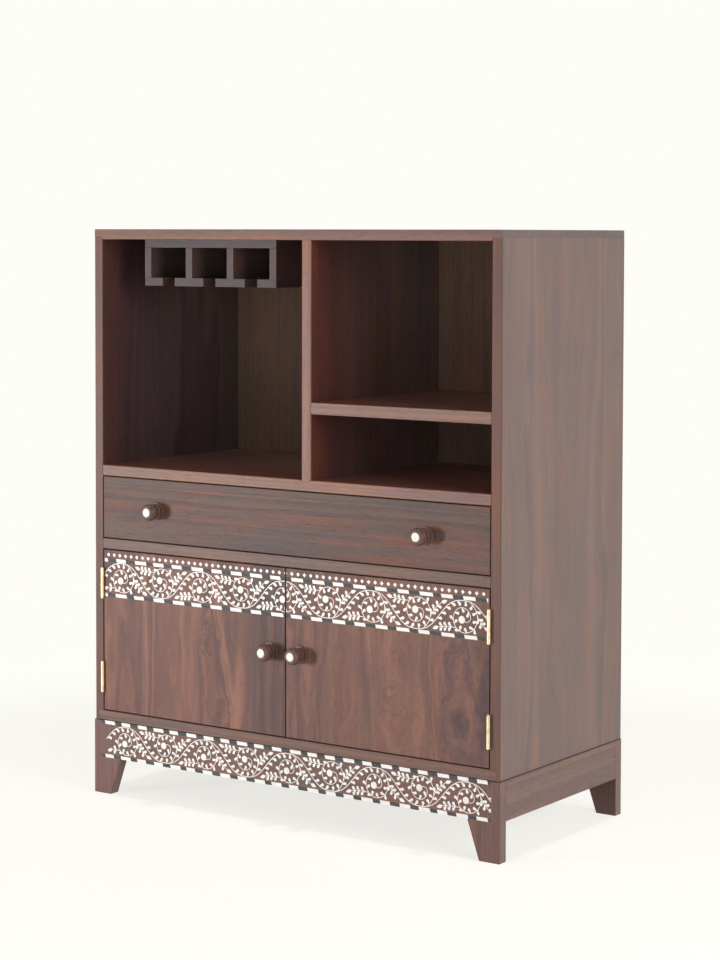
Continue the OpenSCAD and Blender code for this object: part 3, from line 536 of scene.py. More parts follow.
def with_seam_shade_and_wear(colour, place, box, cloud, rubbed_and_lit_colour):
    """Painted shade as dark hairlines in the seams, and along the edges a lighter colour
    that is partly rubbing and partly painted highlight.
    """
    seam_shade = calc("MULTIPLY", painted_seam_shade_mask(place, box[0].y), 0.75)
    colour = blend(seam_shade, colour, SEAM_SHADE_TINT, "MULTIPLY")
    worn_and_lit_edge = edge_mask(place, box, EDGE_WEAR_AND_HIGHLIGHT)
    rub_and_highlight = calc("MULTIPLY", worn_and_lit_edge, step_up(cloud, 0.35, 0.6))
    return blend(calc("MULTIPLY", rub_and_highlight, 0.3), colour, rubbed_and_lit_colour)


# %% [markdown]
# The lacquer is a thin satin film over open pores. It is the same everywhere, so its
# roughness varies only a little, and the pores show as a fine bump that runs with the
# grain. In the call, `figure` says how strongly the rings show, `slim` does so for the
# slim streaks, and `band` says how close together the wide bands lie.

# %% The sheesham finish
def sheesham(name, stain, grain, seed, box, pith=None, staves=None, knots=(), inside=None,
             front_stain=None, end_stain=None, lightness=1.0, curl=0.09, figure=0.4,
             slim=0.3, band=52.0, sheen=0.3):
    finish, shader, place = new_finish(name)
    rings, stretched, tone, cores, glows = board_rings(
        place, grain, seed, box, pith, staves, knots, curl)
    hue, olive = streak_hue(rings, stretched, figure, slim, band)
    colour = leaning(stain, hue, olive)
    # Inside the carcass: stain and painted shade that change with the depth
    if inside:
        colour = stain_and_shade_inside(place, colour, inside)
    # Painted shade in a narrow line behind the front arris of the sides
    if inside == "wall":
        colour = dark_arris(place, colour, box[0].y)
    if front_stain:
        colour = blend(front_mask(place, box[0].y), colour,
                       leaning(front_stain, hue, olive))
    if end_stain:
        colour = blend(end_mask(place, box[1].x), colour,
                       scaled(leaning(end_stain, hue, olive), 1 / lightness))
    cloud = noise(stretched, CLOUD_SCALE)
    colour = shaded(colour, rings, cloud, figure, lightness)
    if tone is not None:
        board = ramp(tone, [(0.0, DARK_BOARD), (1.0, LIGHT_BOARD)])
        colour = blend(1.0, colour, board, "MULTIPLY")
    colour, pores = with_pores(colour, stretched, 0.3 + slim)
    if knots:
        colour = blend(cores, colour, KNOT_TINT, "MULTIPLY")
        colour = blend(glows, colour, GLOW_TINT, "MULTIPLY")
    # Painted shade in the seams, and edges made lighter by wear and a painted highlight
    colour = with_seam_shade_and_wear(colour, place, box, cloud, srgb(*STAIN[stain][1]))
    wire(shader, {"Base Color": colour, "Roughness": between(pores, 0.4, 0.58),
                  "Specular IOR Level": sheen})
    set_bump(shader, pores, 0.2, 0.25)
    return finish


# %% [markdown]
# ## Which board gets which stain
#
# Grain always runs along a board's length: up the sides, legs and doors, across the
# rails and the drawer front, and front to back in the base's side aprons. Each board
# has a seed of its own, so that no two are cut from the same spot of the tree.

# %% The plain boards
BOARDS = {  # node: stain, grain, pith across, pith behind, lightness
    "top_panel": ("front", "X", 0.06, 1.16, 0.58),
    "divider": ("front", "Z", 0.16, 0.1, 0.68),
    "right_shelf": ("front", "X", -0.1, 0.9, 1.0),
    "compartment_floor": ("front", "X", -0.12, 0.42, 1.0),
    # The lower rails are darker than the boards above, partly by their tone and partly as
    # painted shade
    "dust_board": ("rail", "X", -0.1, 0.3, 0.95),
    "bottom_board": ("rail", "X", -0.14, 0.02, 0.9),
    "back_panel": ("backing", "Z", 0.3, 0.5, 1.0),
    "rack_top_board": ("rack_inside", "X", -0.2, 0.8, 1.0),
    "rack_left_wall": ("rack_inside", "Y", 0.1, 0.8, 1.0),
    "rack_mid_left_wall": ("rack_inside", "Y", 0.2, 0.8, 1.0),
    "rack_mid_right_wall": ("rack_inside", "Y", 0.3, 0.8, 1.0),
    "rack_right_wall": ("rack_inside", "Y", 0.4, 0.8, 1.0),
    "rack_lips": ("rack_inside", "Y", 0.1, 0.6, 0.8),
    "front_left_leg": ("plinth", "Z", -0.3, -0.3, 1.0),
    "front_right_leg": ("plinth", "Z", 0.3, -0.35, 1.0),
    "back_left_leg": ("plinth", "Z", -0.3, 0.1, 1.0),
    "back_right_leg": ("plinth", "Z", 0.3, 0.1, 1.0),
    "front_apron": ("base", "X", -0.1, 0.0, 1.0),
    "back_apron": ("base", "X", 0.1, 0.0, 1.0),
    "left_apron": ("plinth", "Y", -0.6, 0.05, 1.0),
    "right_apron": ("plinth", "Y", 0.62, 0.05, 1.0),
    "corner_blocks": ("inner", "Z", 0.2, 0.2, 1.0),
    "left_runner": ("inner", "Y", 0.2, 0.2, 1.0),
    "right_runner": ("inner", "Y", 0.1, 0.3, 1.0),
    "drawer_left_side": ("inner", "Y", -0.5, 0.4, 1.05),
    "drawer_right_side": ("inner", "Y", 0.5, 0.45, 1.05),
    "drawer_back": ("inner", "X", 0.4, 0.5, 1.05),
    "drawer_bottom": ("inner", "X", 0.2, 0.3, 1.05),
}
OUTSIDE_STAINS = ("base", "plinth", "inner")
INSIDE_PLACES = {"divider": "divider", "back_panel": "back"}
QUIET_FIGURE = {"divider": 0.3, "back_panel": 0.2}
PLAIN_FIGURE = 0.4
END_STAINS = {"top_panel": "end"}
FRONT_STAINS = {name: "rack" for name in BOARDS if name.startswith("rack_")}
# The back legs and the back apron face in under the cabinet and get painted shade
FRONT_STAINS.update(back_left_leg="under", back_right_leg="under", back_apron="under",
                    front_left_leg="base", front_right_leg="base",
                    right_shelf="lip", compartment_floor="lip")


def give(names, finish):
    """The finish becomes the only material of these solids."""
    for name in [names] if isinstance(names, str) else names:
        materials = solids[name].data.materials
        materials.clear()
        materials.append(finish)


for count, (name, (stain, grain, near, behind, light)) in enumerate(BOARDS.items()):
    inside = INSIDE_PLACES.get(name, None if stain in OUTSIDE_STAINS else "board")
    give(name, sheesham("wood_" + name, stain, grain, 1.7 * count + 0.4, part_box(name),
                        (near, behind), inside=inside, lightness=light,
                        front_stain=FRONT_STAINS.get(name), end_stain=END_STAINS.get(name),
                        figure=QUIET_FIGURE.get(name, PLAIN_FIGURE)))
print("plain boards finished:", len(BOARDS))

# %% [markdown]
# The sides, the drawer front and the doors are what the eye reads first. The sides and
# the drawer front are single boards, each with a figure of its own. The right side is
# nearly plain. The left one, whose inner face the open compartment shows, is livelier
# and darker.

# %% Sides and drawer front
def side_finish(name, panel, seed, pith, **figure):
    return sheesham(name, "side", "Z", seed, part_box(panel), pith=pith, inside="wall",
                    front_stain="stile", curl=0.18, band=30.0, **figure)


give("right_side_panel", side_finish("wood_right_side", "right_side_panel", 21.3,
                                     (0.9, 0.02), figure=0.17, slim=0.08))
give("left_side_panel", side_finish("wood_left_side", "left_side_panel", 33.9,
                                    (-0.9, 0.1), lightness=0.86, figure=0.5, slim=0.3))
# Its edges get the painted shadow of the gap round the drawer
give("drawer_front", sheesham("wood_drawer_front", "drawer", "X", 12.6,
                              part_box("drawer_front"), pith=(-0.05, 0.47),
                              inside="door", sheen=0.15))
print("sides and drawer front finished")

# %% [markdown]
# The doors are glued from staves. On the right door the rings close round a large knot
# low down by the hinge and a smaller figure to its left. On the left door a dark stave
# runs up the edge where the doors meet.

# %% Doors glued from staves
LEFT_STAVES = [  # edge, tone, pith across, pith behind
    (-0.4275, 0.7, 0.18, 0.25), (-0.352, 0.75, 0.5, 0.5), (-0.253, 0.85, 0.3, 0.2),
    (-0.172, 0.8, 0.9, 0.4), (-0.0762, 0.0, 0.2, 0.8)]
RIGHT_STAVES = [(0.0005, 0.62, 0.15, 0.3), (0.0672, 0.8, 0.3, 0.25),
                (0.1853, 0.78, 0.55, 0.2), (0.3243, 0.6, 0.85, 0.15)]
RIGHT_KNOTS = [  # across, height, half width, half height, hill, grey core, warm glow
    (0.3667, 0.229, 0.026, 0.042, 0.045, 0.6, 0.0),
    (0.2398, 0.226, 0.022, 0.034, 0.03, 0.0, 0.7),
    (0.2318, 0.3295, 0.016, 0.02, -0.02, 0.0, 0.9),
    (0.359, 0.337, 0.024, 0.03, 0.015, 0.35, 0.0),
    (0.418, 0.32, 0.02, 0.12, 0.0, 0.55, 0.0)]
LEFT_KNOTS = [(-0.1778, 0.323, 0.012, 0.05, 0.02, 0.5, 0.0),
              (-0.1506, 0.193, 0.02, 0.02, 0.015, 0.45, 0.0),
              (-0.0905, 0.22, 0.006, 0.09, 0.0, 0.0, 0.5)]
for side, seed, staves, knots in (("left", 5.1, LEFT_STAVES, LEFT_KNOTS),
                                  ("right", 8.7, RIGHT_STAVES, RIGHT_KNOTS)):
    panel = side + "_door_panel"
    # Their edges get the painted shadow of the gaps round the doors
    give(panel, sheesham("wood_" + side + "_door", "door", "Z", seed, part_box(panel),
                         staves=staves, knots=knots, inside="door", curl=0.2, figure=0.8,
                         sheen=0.15))
    print(panel, "has", len(staves), "staves and", len(knots), "knots")

# %% [markdown]
# ## Bone and black filler
#
# Camel bone is sawn into slips, filed to shape, glued into the pockets and scraped
# flush. It polishes to a warm cream with faint streaks along each slip and a soft shine.
# The filler between the blocks is a charcoal black, duller than the bone.

# %% Bone
bone, shader, place = new_finish("polished_bone")
patches = noise(place, 60.0, 3.0, 0.6)
colour = ramp(patches, [(0.25, srgb(236, 227, 214)), (0.5, srgb(249, 246, 239)),
                        (0.8, srgb(255, 253, 249))])
streaks = noise(vector_calc("MULTIPLY", place, (1.0, 1.0, 5.0)), 500.0)
mask = calc("MULTIPLY", step_up(streaks, 0.6, 0.8), 0.4)
colour = blend(mask, colour, srgb(226, 214, 198), "MULTIPLY")
wire(shader, {"Base Color": colour, "Roughness": 0.38, "Subsurface Weight": 0.12,
              "Subsurface Radius": (0.002, 0.0015, 0.001), "Subsurface Scale": 0.5})
set_bump(shader, streaks, 0.08, 0.1)
give(["left_door_bone_inlay", "right_door_bone_inlay", "apron_bone_inlay"], bone)

# %% Black filler
black, shader, place = new_finish("black_filler")
grain = noise(place, 240.0, 4.0, 0.6)
colour = ramp(grain, [(0.3, srgb(50, 52, 57)), (0.7, srgb(76, 79, 85))])
wire(shader, {"Base Color": colour, "Roughness": 0.55, "Specular IOR Level": 0.3})
set_bump(shader, grain, 0.1, 0.1)
give(["left_door_black_inlay", "right_door_black_inlay", "apron_black_inlay"], black)

# %% [markdown]
# ## Brass and steel
#
# The hinges are cast or rolled brass with a satin brush, pale rather than golden, a
# little duller where fingers don't reach. Metal gets its look from what it reflects, so
# its colour goes into the base colour with full metalness, and noise only varies the
# roughness and lays a thin film of tarnish.

# %% Metals
def metal_finish(name, clean, tarnished, roughness):
    finish, shader, place = new_finish(name)
    film = noise(place, 90.0, 4.0, 0.65)
    colour = blend(step_up(film, 0.45, 0.75), srgb(*clean), srgb(*tarnished))
    brush = noise(vector_calc("MULTIPLY", place, (1.0, 1.0, 0.06)), 2400.0)
    wire(shader, {"Base Color": colour, "Metallic": 1.0,
                  "Roughness": between(brush, roughness - 0.06, roughness + 0.1)})
    set_bump(shader, brush, 0.1, 0.05)
    return finish


brass = metal_finish("satin_brass", (228, 214, 178), (192, 174, 134), 0.32)
steel = metal_finish("zinc_steel", (186, 188, 190), (158, 160, 164), 0.3)
HINGES = ["hinge_frame_leaves", "hinge_pins", "left_door_leaves", "right_door_leaves"]
give(HINGES, brass)

# %% [markdown]
# ## Smooth shading for the hinge barrels
#
# A CAD solid arrives as loose triangles, so a round barrel looks like a stack of flat
# strips. Its mesh must stay as it is, but a modifier may weld the triangles and shade
# the shallow angles smooth. A small geometry node group does both, and every round CAD
# piece can share it.

# %% A modifier that welds and smooths
def smoothing_group():
    group = bpy.data.node_groups.new("weld_and_smooth", "GeometryNodeTree")
    for way in ("INPUT", "OUTPUT"):
        group.interface.new_socket("Geometry", in_out=way, socket_type="NodeSocketGeometry")
    add, link = group.nodes.new, group.links.new
    start, end = add("NodeGroupInput"), add("NodeGroupOutput")
    weld = add("GeometryNodeMergeByDistance")
    weld.inputs["Distance"].default_value = 0.002 * MM
    angle = add("GeometryNodeInputMeshEdgeAngle")
    shallow = add("FunctionNodeCompare")
    shallow.operation = "LESS_THAN"
    shallow.inputs[1].default_value = radians(32)
    faces, edges = (add("GeometryNodeSetShadeSmooth") for _ in range(2))
    edges.domain = "EDGE"
    link(start.outputs[0], weld.inputs["Geometry"])
    link(weld.outputs["Geometry"], faces.inputs["Geometry"])
    link(faces.outputs["Geometry"], edges.inputs["Geometry"])
    link(angle.outputs["Unsigned Angle"], shallow.inputs[0])
    link(shallow.outputs[0], edges.inputs["Shade Smooth"])
    link(edges.outputs["Geometry"], end.inputs[0])
    return group


weld_and_smooth = smoothing_group()
for name in HINGES:
    solids[name].modifiers.new("smooth", "NODES").node_group = weld_and_smooth

# %% [markdown]
# ## Softened arrises
#
# No sanded board has a perfectly sharp edge, and a hairline of light along each edge is
# what tells the eye that it is wood. The plain boards get a bevel half a millimetre wide.
# The panels with inlay pockets are left out, because a bevel there would round every
# leaf.

# %% Bevels on the plain boards
POCKETED = ("front_left_leg", "front_right_leg", "front_apron")
for name in BOARDS:
    if name in POCKETED:
        continue
    weld = solids[name].modifiers.new("weld", "WELD")
    weld.merge_threshold = 0.005 * MM
    arris = solids[name].modifiers.new("arris", "BEVEL")
    arris.width, arris.segments = 0.5 * MM, 2
    arris.limit_method, arris.angle_limit = "ANGLE", radians(40)
    arris.harden_normals = False

# %% [markdown]
# ## New pieces with bmesh
#
# Turned knobs, slotted screws and the magnetic catches are small shapes with real
# detail. Each is made with bmesh operators: a profile is spun, a disc is cut and pushed
# in, a block is bevelled. `finish_piece` turns the bmesh into an object, smooths its
# shallow edges, hangs it on the body that carries it, and hides the solid it stands for.

# %% From bmesh to a finished piece
def add_object(name, data):
    """A new object in the scene."""
    made = bpy.data.objects.new(name, data)
    bpy.context.scene.collection.objects.link(made)
    return made


def as_mesh(shape, name):
    """The mesh of a bmesh, which is freed."""
    mesh = bpy.data.meshes.new(name)
    shape.to_mesh(mesh)
    shape.free()
    return mesh


def finish_piece(shape, name, body, finish, stands_for):
    bmesh.ops.recalc_face_normals(shape, faces=shape.faces)
    mesh = as_mesh(shape, name)
    mesh.shade_smooth()
    mesh.set_sharp_from_angle(angle=radians(35))
    mesh.materials.append(finish)
    piece = add_object(name, mesh)
    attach(piece, body)
    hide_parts(*stands_for)
    size = [round(side / MM, 1) for side in piece.dimensions]
    print(name, "on", body, "with", len(mesh.polygons), "faces,", size, "mm")


def spin_profile(shape, points, centre, steps=48):
    """Turns a profile of (radius, distance out) in mm about a line along -Y."""
    path = [shape.verts.new(centre + Vector((radius, -out, 0)) * MM)
            for radius, out in points]
    edges = [shape.edges.new(pair) for pair in zip(path, path[1:])]
    bmesh.ops.spin(shape, geom=path + edges, cent=centre, axis=(0, 1, 0), steps=steps,
                   angle=2 * pi, use_merge=True)
    bmesh.ops.remove_doubles(shape, verts=shape.verts, dist=0.002 * MM)
    bmesh.ops.holes_fill(shape, edges=[edge for edge in shape.edges if edge.is_boundary])


def arc(centre_radius, centre_out, radius, start, end, steps):
    """Points on an arc of a profile, angles in degrees from straight outwards."""
    angles = [radians(start + (end - start) * i / steps) for i in range(steps + 1)]
    return [(centre_radius + radius * sin(a), centre_out + radius * cos(a))
            for a in angles]


# %% [markdown]
# ## The turned knobs
#
# A knob is turned on a lathe: a flat flange that sits on the front, a round bead, a thin
# neck for the fingers, and a full head with a shallow seat in its tip for a bone disc.
# The lathe works on a profile, and so does `bmesh.ops.spin`. The profiles here are in
# millimetres. The wood carries on in the tip as a thin rim, and the narrow seat round
# the disc shows as a dark hairline.

# %% The knob's wood
def knob_finish(name, centre, seed):
    finish, shader, place = new_finish(name)
    local = vector_calc("SUBTRACT", place, tuple(centre))
    streak = noise(vector_calc("MULTIPLY", local, (1.0, 1.0, 0.15)),
                   260.0 + seed, 3.0, 0.6)
    colour = ramp(streak, [(0.3, srgb(76, 52, 46)), (0.5, srgb(101, 72, 64)),
                           (0.75, srgb(125, 93, 83))])
    # Hair-fine marks that the turning tool leaves round the knob
    turns = calc("DIVIDE", coordinate(local, "Y"), 0.45 * MM)
    marks = noise(turns, 1.0, dimensions="1D")
    wire(shader, {"Base Color": colour, "Roughness": 0.42, "Specular IOR Level": 0.3})
    set_bump(shader, marks, 0.2, 0.1)
    return finish


# %% The profiles of a knob and of its disc
DISC_RADIUS = (high("left_door_knob_disc").x - low("left_door_knob_disc").x) / 2 / MM
print("bone disc radius in mm:", round(DISC_RADIUS, 2))


def knob_profile(radius, length):
    """A turned knob, from the middle of its foot to the bottom of the disc's seat."""
    head = 0.94 * radius
    bead, neck, seat = 0.9 * head, 0.66 * head, DISC_RADIUS + 0.06
    rim = seat + 1.7
    return ([(0.1, 0), (radius - 0.8, 0)] + arc(radius - 0.8, 0.8, 0.8, 180, 90, 3)
            + arc(radius - 1.2, 2.2, 1.2, 90, 0, 5)
            + [(bead - 1.4, 3.6), (neck + 0.8, 4.6), (neck + 0.5, 5.8)]
            + arc(bead - 1.7, 7.9, 1.7, 180, 0, 10)
            + [(neck + 0.3, 10.2), (neck, 11.2), (neck + 0.2, 12.2)]
            + [(rim + (head - rim) * cos(radians(angle)),
                21.5 + 9.9 * sin(radians(angle))) for angle in range(-60, 79, 6)]
            + [(rim - 0.4, length - 0.4), (seat + 0.25, length - 0.5),
               (seat, length - 0.8), (seat, length - 2), (0.1, length - 2)])


def dome_profile(length):
    """A bone disc: a straight rim and a low dome."""
    foot = length - 1.9
    return ([(0.02, foot), (DISC_RADIUS - 0.3, foot),
             (DISC_RADIUS, length - 1.4), (DISC_RADIUS, length - 0.6)]
            + [(DISC_RADIUS * sin(radians(angle)) ** 0.8,
                length - 0.55 + 0.5 * cos(radians(angle))) for angle in range(84, 1, -12)]
            + [(0.02, length)])


# %% Four knobs with their discs
KNOBS = {"drawer_left_knob": "drawer", "drawer_right_knob": "drawer",
         "left_door_knob": "left_door", "right_door_knob": "right_door"}


def make_knob(name, body, count):
    near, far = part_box(name)
    centre = Vector(((near.x + far.x) / 2, FRONT, (near.z + far.z) / 2))
    length = (far.y - near.y) / MM
    shape = bmesh.new()
    spin_profile(shape, knob_profile((far.x - near.x) / 2 / MM, length), centre)
    wood = knob_finish("turned_" + name, centre, 11.0 * count)
    finish_piece(shape, name + "_turned", body, wood, [name])
    dome = bmesh.new()
    spin_profile(dome, dome_profile(length), centre)
    finish_piece(dome, name + "_bone", body, bone,
                 ["drawer_knob_discs"] if body == "drawer" else [name + "_disc"])


for count, (name, body) in enumerate(KNOBS.items()):
    make_knob(name, body, count)

# %% [markdown]
# ## Slotted screws
#
# Each hinge leaf is held by countersunk brass screws, and each knob by a round-headed
# steel screw from inside. A spun profile would do, but what makes a screw read as a screw
# is its slot. So the work starts with the flat top of the head: inset a rim, cut the disc
# along both sides of the slot, push the strip between the cuts down. Then the rim is
# extruded, ring by ring, into the cone, the shank and the point.

# %% One screw, its head up at the origin
def verts_of(items):
    return [item for item in items if isinstance(item, bmesh.types.BMVert)]


def screw_mesh(rings, slot_depth):
    """A slotted screw from (radius, depth) rings in mm. The first is the flat top."""
    shape = bmesh.new()
    rings = [(radius * MM, depth * MM) for radius, depth in rings]
    top = rings[0][0]
    bmesh.ops.create_circle(shape, cap_ends=True, segments=28, radius=top)
    bmesh.ops.inset_region(shape, faces=shape.faces[:], thickness=0.14 * top)
    half = 0.13 * top
    for side in (-half, half):
        cap = [face for face in shape.faces if face.calc_center_median().length < 0.7 * top]
        pieces = cap + [e for f in cap for e in f.edges] + [v for f in cap for v in f.verts]
        bmesh.ops.bisect_plane(shape, geom=list(set(pieces)), plane_co=(0, side, 0),
                               plane_no=(0, 1, 0))
    strip = [face for face in shape.faces if abs(face.calc_center_median().y) < half
             and abs(face.calc_center_median().x) < half]
    sunk = bmesh.ops.extrude_face_region(shape, geom=strip)["geom"]
    bmesh.ops.translate(shape, vec=(0, 0, -slot_depth * MM), verts=verts_of(sunk))
    bmesh.ops.delete(shape, geom=[face for face in strip if face.is_valid],
                     context="FACES_ONLY")
    outline = [edge for edge in shape.edges if edge.is_boundary]
    for (radius, depth), (wide, deep) in zip(rings, rings[1:]):
        grown = bmesh.ops.extrude_edge_only(shape, edges=outline)["geom"]
        verts = verts_of(grown)
        bmesh.ops.scale(shape, vec=(wide / radius, wide / radius, 1.0), verts=verts)
        bmesh.ops.translate(shape, vec=(0, 0, depth - deep), verts=verts)
        outline = [item for item in grown if isinstance(item, bmesh.types.BMEdge)
                   and item.is_boundary]
    bmesh.ops.edgeloop_fill(shape, edges=outline)
    return shape


def add_turned(shape, part, place, outward, turn):
    """Adds a part made at the origin, its +Z turned to outward, and frees it."""
    way = Vector((0, 0, 1)).rotation_difference(Vector(outward)).to_matrix().to_4x4()
    way = Matrix.Translation(place) @ way @ Matrix.Rotation(turn, 4, "Z")
    bmesh.ops.transform(part, matrix=way, verts=part.verts)
    bmesh.ops.recalc_face_normals(part, faces=part.faces)
    passed = as_mesh(part, "passed")
    shape.from_mesh(passed)
    bpy.data.meshes.remove(passed)


# %% Where each screw sits
def loose_parts(mesh):
    """The corners of each separate solid in a CAD mesh, as (lowest, highest)."""
    copy = bmesh.new()
    copy.from_mesh(mesh)
    bmesh.ops.remove_doubles(copy, verts=copy.verts, dist=0.002 * MM)
    left, found = set(copy.verts), []
    while left:
        reached, front = set(), [left.pop()]
        while front:
            vert = front.pop()
            reached.add(vert)
            for edge in vert.link_edges:
                other = edge.other_vert(vert)
                if other in left:
                    left.discard(other)
                    front.append(other)
        points = [vert.co for vert in reached]
        found.append((Vector([min(p[i] for p in points) for i in range(3)]),
                      Vector([max(p[i] for p in points) for i in range(3)])))
    copy.free()
    return sorted(found, key=lambda box: tuple(box[0]))


def slot_turn(count):
    """No two screws stop with their slots at the same angle."""
    return radians((37 * count + 20) % 180)


# %% Screws in the place of their solids
def fit_screws(name, body, finish, axis, head_side, profile, slot_depth):
    """A slotted screw for each solid of a node. Its head looks to the side along axis."""
    shape = bmesh.new()
    for count, (near, far) in enumerate(loose_parts(solids[name].data)):
        face, outward = (near + far) / 2, Vector((0, 0, 0))
        outward[axis] = head_side(face)
        face[axis] = (far if outward[axis] > 0 else near)[axis]
        rings = profile((far.z - near.z) / 2 / MM, (far[axis] - near[axis]) / MM)
        add_turned(shape, screw_mesh(rings, slot_depth), face, outward, slot_turn(count))
    finish_piece(shape, name + "_slotted", body, finish, [name])


# %% [markdown]
# The leaves' screws are turned so that the head faces away from the wood: towards the
# door in the frame's leaves, and towards the side panel in the doors' leaves.

# %% Brass screws in the hinge leaves
LEAF_SCREWS = {"frame_leaf_screws": ("carcass", -1),
               "left_door_leaf_screws": ("left_door", 1),
               "right_door_leaf_screws": ("right_door", 1)}


def leaf_screw(radius, length):
    return [(radius, 0), (0.5 * radius, 2), (0.46 * radius, 3),
            (0.46 * radius, length - 2.5), (0.1 * radius, length)]


for name, (body, way) in LEAF_SCREWS.items():
    fit_screws(name, body, brass, 0,
               lambda middle: way * copysign(1, middle.x), leaf_screw, 0.35)

# %% Round-headed screws behind the knobs
KNOB_SCREWS = {"drawer_knob_screws": "drawer", "left_door_knob_screw": "left_door",
               "right_door_knob_screw": "right_door"}


def knob_screw(radius, length):
    return [(0.6 * radius, 0), (0.8 * radius, 0.2), (0.93 * radius, 0.6), (radius, 1.2),
            (radius, 2), (0.5 * radius, 2), (0.5 * radius, length)]


for name, body in KNOB_SCREWS.items():
    fit_screws(name, body, steel, 1, lambda middle: 1, knob_screw, 0.8)

# %% [markdown]
# ## Magnetic catches
#
# A catch is a small plastic housing with a magnet between two steel plates, whose edges
# stand out and touch the strike plate on the door. Two ears take its screws. The housing
# is a cube that is bevelled until no moulded edge is sharp, and the ears are a second
# block with rounder corners. It hides behind the door, so it shows only when a door is
# open, but then it is at eye level.

# %% Moulded plastic
plastic, shader, place = new_finish("brown_plastic")
mould = noise(place, 900.0, 3.0, 0.6)
flow = noise(place, 55.0)
colour = ramp(flow, [(0.3, srgb(58, 44, 38)), (0.7, srgb(72, 55, 47))])
wire(shader, {"Base Color": colour, "Roughness": between(mould, 0.42, 0.62)})
set_bump(shader, mould, 0.15, 0.1)


# %% A block with rounded edges
def add_block(shape, near, far, rounding, axis=None, segments=3):
    """A bevelled block. With an axis, only the edges along that axis are rounded."""
    block = bmesh.new()
    bmesh.ops.create_cube(block, size=1.0)
    size = Vector(far) - Vector(near)
    bmesh.ops.scale(block, vec=size, verts=block.verts)
    edges = block.edges[:]
    if axis is not None:
        edges = [edge for edge in edges
                 if abs((edge.verts[0].co - edge.verts[1].co)[axis]) > 0.9 * size[axis]]
    bmesh.ops.bevel(block, geom=edges, offset=rounding, offset_type="OFFSET",
                    affect="EDGES", segments=segments, profile=0.5, material=-1)
    add_turned(shape, block, (Vector(near) + Vector(far)) / 2, (0, 0, 1), 0.0)


# %% Housings, ears, pole plates and their screws
housing, metal = bmesh.new(), bmesh.new()
for count, (near, far) in enumerate(loose_parts(solids["door_catches"].data)):
    middle = (near + far) / 2
    half = 0.32 * (far.x - near.x)
    add_block(housing, (middle.x - half, near.y + 1.4 * MM, near.z),
              (middle.x + half, far.y, far.z), 1.2 * MM)
    add_block(housing, (near.x, near.y + 3 * MM, far.z - 3 * MM),
              (far.x, far.y - 1 * MM, far.z), 3 * MM, axis=2)
    for rise in (0.28, 0.66):
        level = near.z + rise * (far.z - near.z)
        add_block(metal, (middle.x - half + 2.5 * MM, near.y, level - 0.6 * MM),
                  (middle.x + half - 2.5 * MM, near.y + 4 * MM, level + 0.6 * MM),
                  0.25 * MM, segments=2)
    for side in (-1, 1):
        ear = Vector((middle.x + side * (half + 3.6 * MM), middle.y + 1 * MM,
                      far.z - 3.9 * MM))
        screw = screw_mesh([(1.3, 0), (2.1, 0.35), (2.3, 0.9), (1.2, 1.2)], 0.5)
        add_turned(metal, screw, ear, (0, 0, -1), slot_turn(2 * count + side))
finish_piece(housing, "catch_housings", "carcass", plastic,
             ["door_catches"])
finish_piece(metal, "catch_plates", "carcass", steel, ["door_catches"])

# %% [markdown]
# The strike plate is a slip of pressed steel with rounded corners, held by one screw in
# its middle.

# %% Strike plates on the doors
STRIKE_PLATES = {"left_strike_plate": "left_door", "right_strike_plate": "right_door"}
for name, body in STRIKE_PLATES.items():
    near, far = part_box(name)
    shape = bmesh.new()
    add_block(shape, near, far - Vector((0, 0.15 * MM, 0)), 2.2 * MM, axis=1)
    middle = (near + far) / 2
    face = Vector((middle.x, far.y, middle.z))
    screw = screw_mesh([(1.9, 0), (2.4, 0.15), (2.4, 0.4)], 0.12)
    add_turned(shape, screw, face, (0, 1, 0), slot_turn(len(name)))
    finish_piece(shape, name + "_pressed", body, steel, [name])

# %% [markdown]
# ## The light
#
# A studio for furniture is almost a white box. The key light is a narrow softbox low on
# the left, a little below the knobs, so that their shadows fall level to the right. A
# broad fill on the right lights the side, a weak one opens the front, and a lamp straight
# above, small like the sun, draws the cabinet's shadow on the floor. White walls all
# round do the rest, but they give little light of their own.

# %% Area lights that look at the cabinet
def softbox(name, place, aim, size, watts):
    lamp = bpy.data.lights.new(name, "AREA")
    lamp.shape, lamp.size, lamp.size_y = "RECTANGLE", size[0], size[1]
    lamp.energy = watts
    holder = add_object(name, lamp)
    holder.location = place
    way = Vector(aim) - Vector(place)
    holder.rotation_euler = way.to_track_quat("-Z", "Y").to_euler()


SOFTBOXES = {  # place, what it looks at, width and height in metres, watts
    "key_light": ((-2.2, -2.9, 0.42), (0.05, -0.2, 0.62), (0.45, 0.8), 74),
    "side_fill": ((4.2, -1.1, 1.5), (0.4, 0.0, 0.6), (2.2, 2.2), 100),
    "front_fill": ((2.6, -3.9, 1.3), (0.0, 0.0, 0.6), (1.5, 1.5), 10),
}
for name, settings in SOFTBOXES.items():
    softbox(name, *settings)
overhead = bpy.data.lights.new("overhead", "SUN")
overhead.energy, overhead.angle = 0.65, radians(2)
add_object("overhead", overhead)
print("lights:", ", ".join(SOFTBOXES), "and overhead")

# %% [markdown]
# Light and looks can be told apart. A shader can ask what kind of ray has reached it, so
# the background and the floor are a flat warm white to the camera and in reflections,
# while the light that they throw on the wood is set by itself. Near the cabinet the
# floor mixes that white with its real surface and lifts it a little, so that a part of
# the shadow stays and the legs stand on something.

# %% World: plain white for the camera, softer for the object
BACKDROP = srgb(254, 253, 248)
WORLD_LIGHT = 0.14


def rays_that_see(tree):
    """1 for rays that show a thing to the eye, and 0 for those that only carry light."""
    rays = node("LightPath", {}, tree).outputs
    return calc("MAXIMUM", rays["Is Camera Ray"], calc("MAXIMUM", rays["Is Glossy Ray"],
                                                       rays["Is Transmission Ray"]))


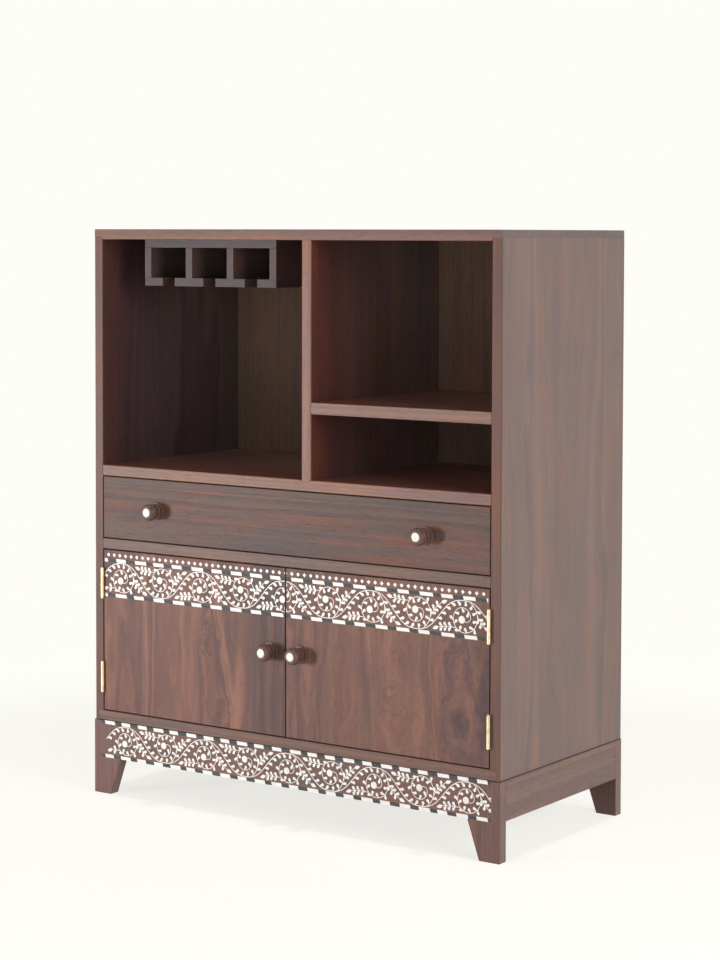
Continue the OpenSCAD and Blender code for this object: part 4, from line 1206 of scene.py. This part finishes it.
world = bpy.data.worlds.new("studio")
bpy.context.scene.world = world
world.use_nodes = True
strength = between(rays_that_see(world.node_tree), WORLD_LIGHT, 1.0)
wire(world.node_tree.nodes["Background"], {"Color": BACKDROP, "Strength": strength})

# %% Floor
SHADOW_FADES, SHADOW_ENDS = 0.9, 1.8
NEAR_MIX, NEAR_LIFT = 0.62, 1.24
shape = bmesh.new()
bmesh.ops.create_grid(shape, x_segments=2, y_segments=2, size=30.0)
floor = add_object("floor", as_mesh(shape, "floor"))
finish, shader, place = new_finish("studio_floor")
wire(shader, {"Base Color": srgb(250, 249, 245), "Roughness": 0.9})
far = step_up(vector_calc("LENGTH", place), SHADOW_FADES, SHADOW_ENDS)
plain = calc("MULTIPLY", rays_that_see(finish.node_tree), between(far, NEAR_MIX, 1.0))
glow = node("Emission", {"Color": BACKDROP, "Strength": between(far, NEAR_LIFT, 1.0)})
mixed = node("MixShader", {0: plain, 1: shader.outputs[0], 2: glow.outputs[0]})
wire(finish.node_tree.nodes["Material Output"], {"Surface": mixed.outputs[0]})
floor.data.materials.append(finish)

# %% [markdown]
# ## The camera
#
# The photograph was taken from the right, a little above the cabinet's middle, with a
# long lens. Its place was worked out from the cabinet's own straight edges. The lens is
# shifted a little, as a furniture photographer shifts it, so that the uprights stay
# upright, and the rest is a slight tilt down.

# %% Camera
PICTURE_HEIGHT = 960
SENSOR = 36.0
EYE = Vector((2486.8, -3535.1, 1058.7)) * MM
FOCAL_PIXELS, TURN, TILT, ROLL, SHIFT = 2346.9, 34.863, 2.716, 0.142, -0.14
camera = add_object("camera", bpy.data.cameras.new("camera"))
bpy.context.scene.camera = camera
camera.data.sensor_width = SENSOR
camera.data.lens = FOCAL_PIXELS * SENSOR / PICTURE_HEIGHT
camera.data.shift_y = SHIFT
aim = (Matrix.Rotation(radians(TURN), 4, "Z")
       @ Matrix.Rotation(radians(90 - TILT), 4, "X")
       @ Matrix.Rotation(radians(ROLL), 4, "Z"))
camera.matrix_world = Matrix.Translation(EYE) @ aim
camera.data.clip_start, camera.data.clip_end = 0.05, 100
bpy.context.scene.view_settings.view_transform = "Standard"
print("lens in mm:", round(camera.data.lens, 2))
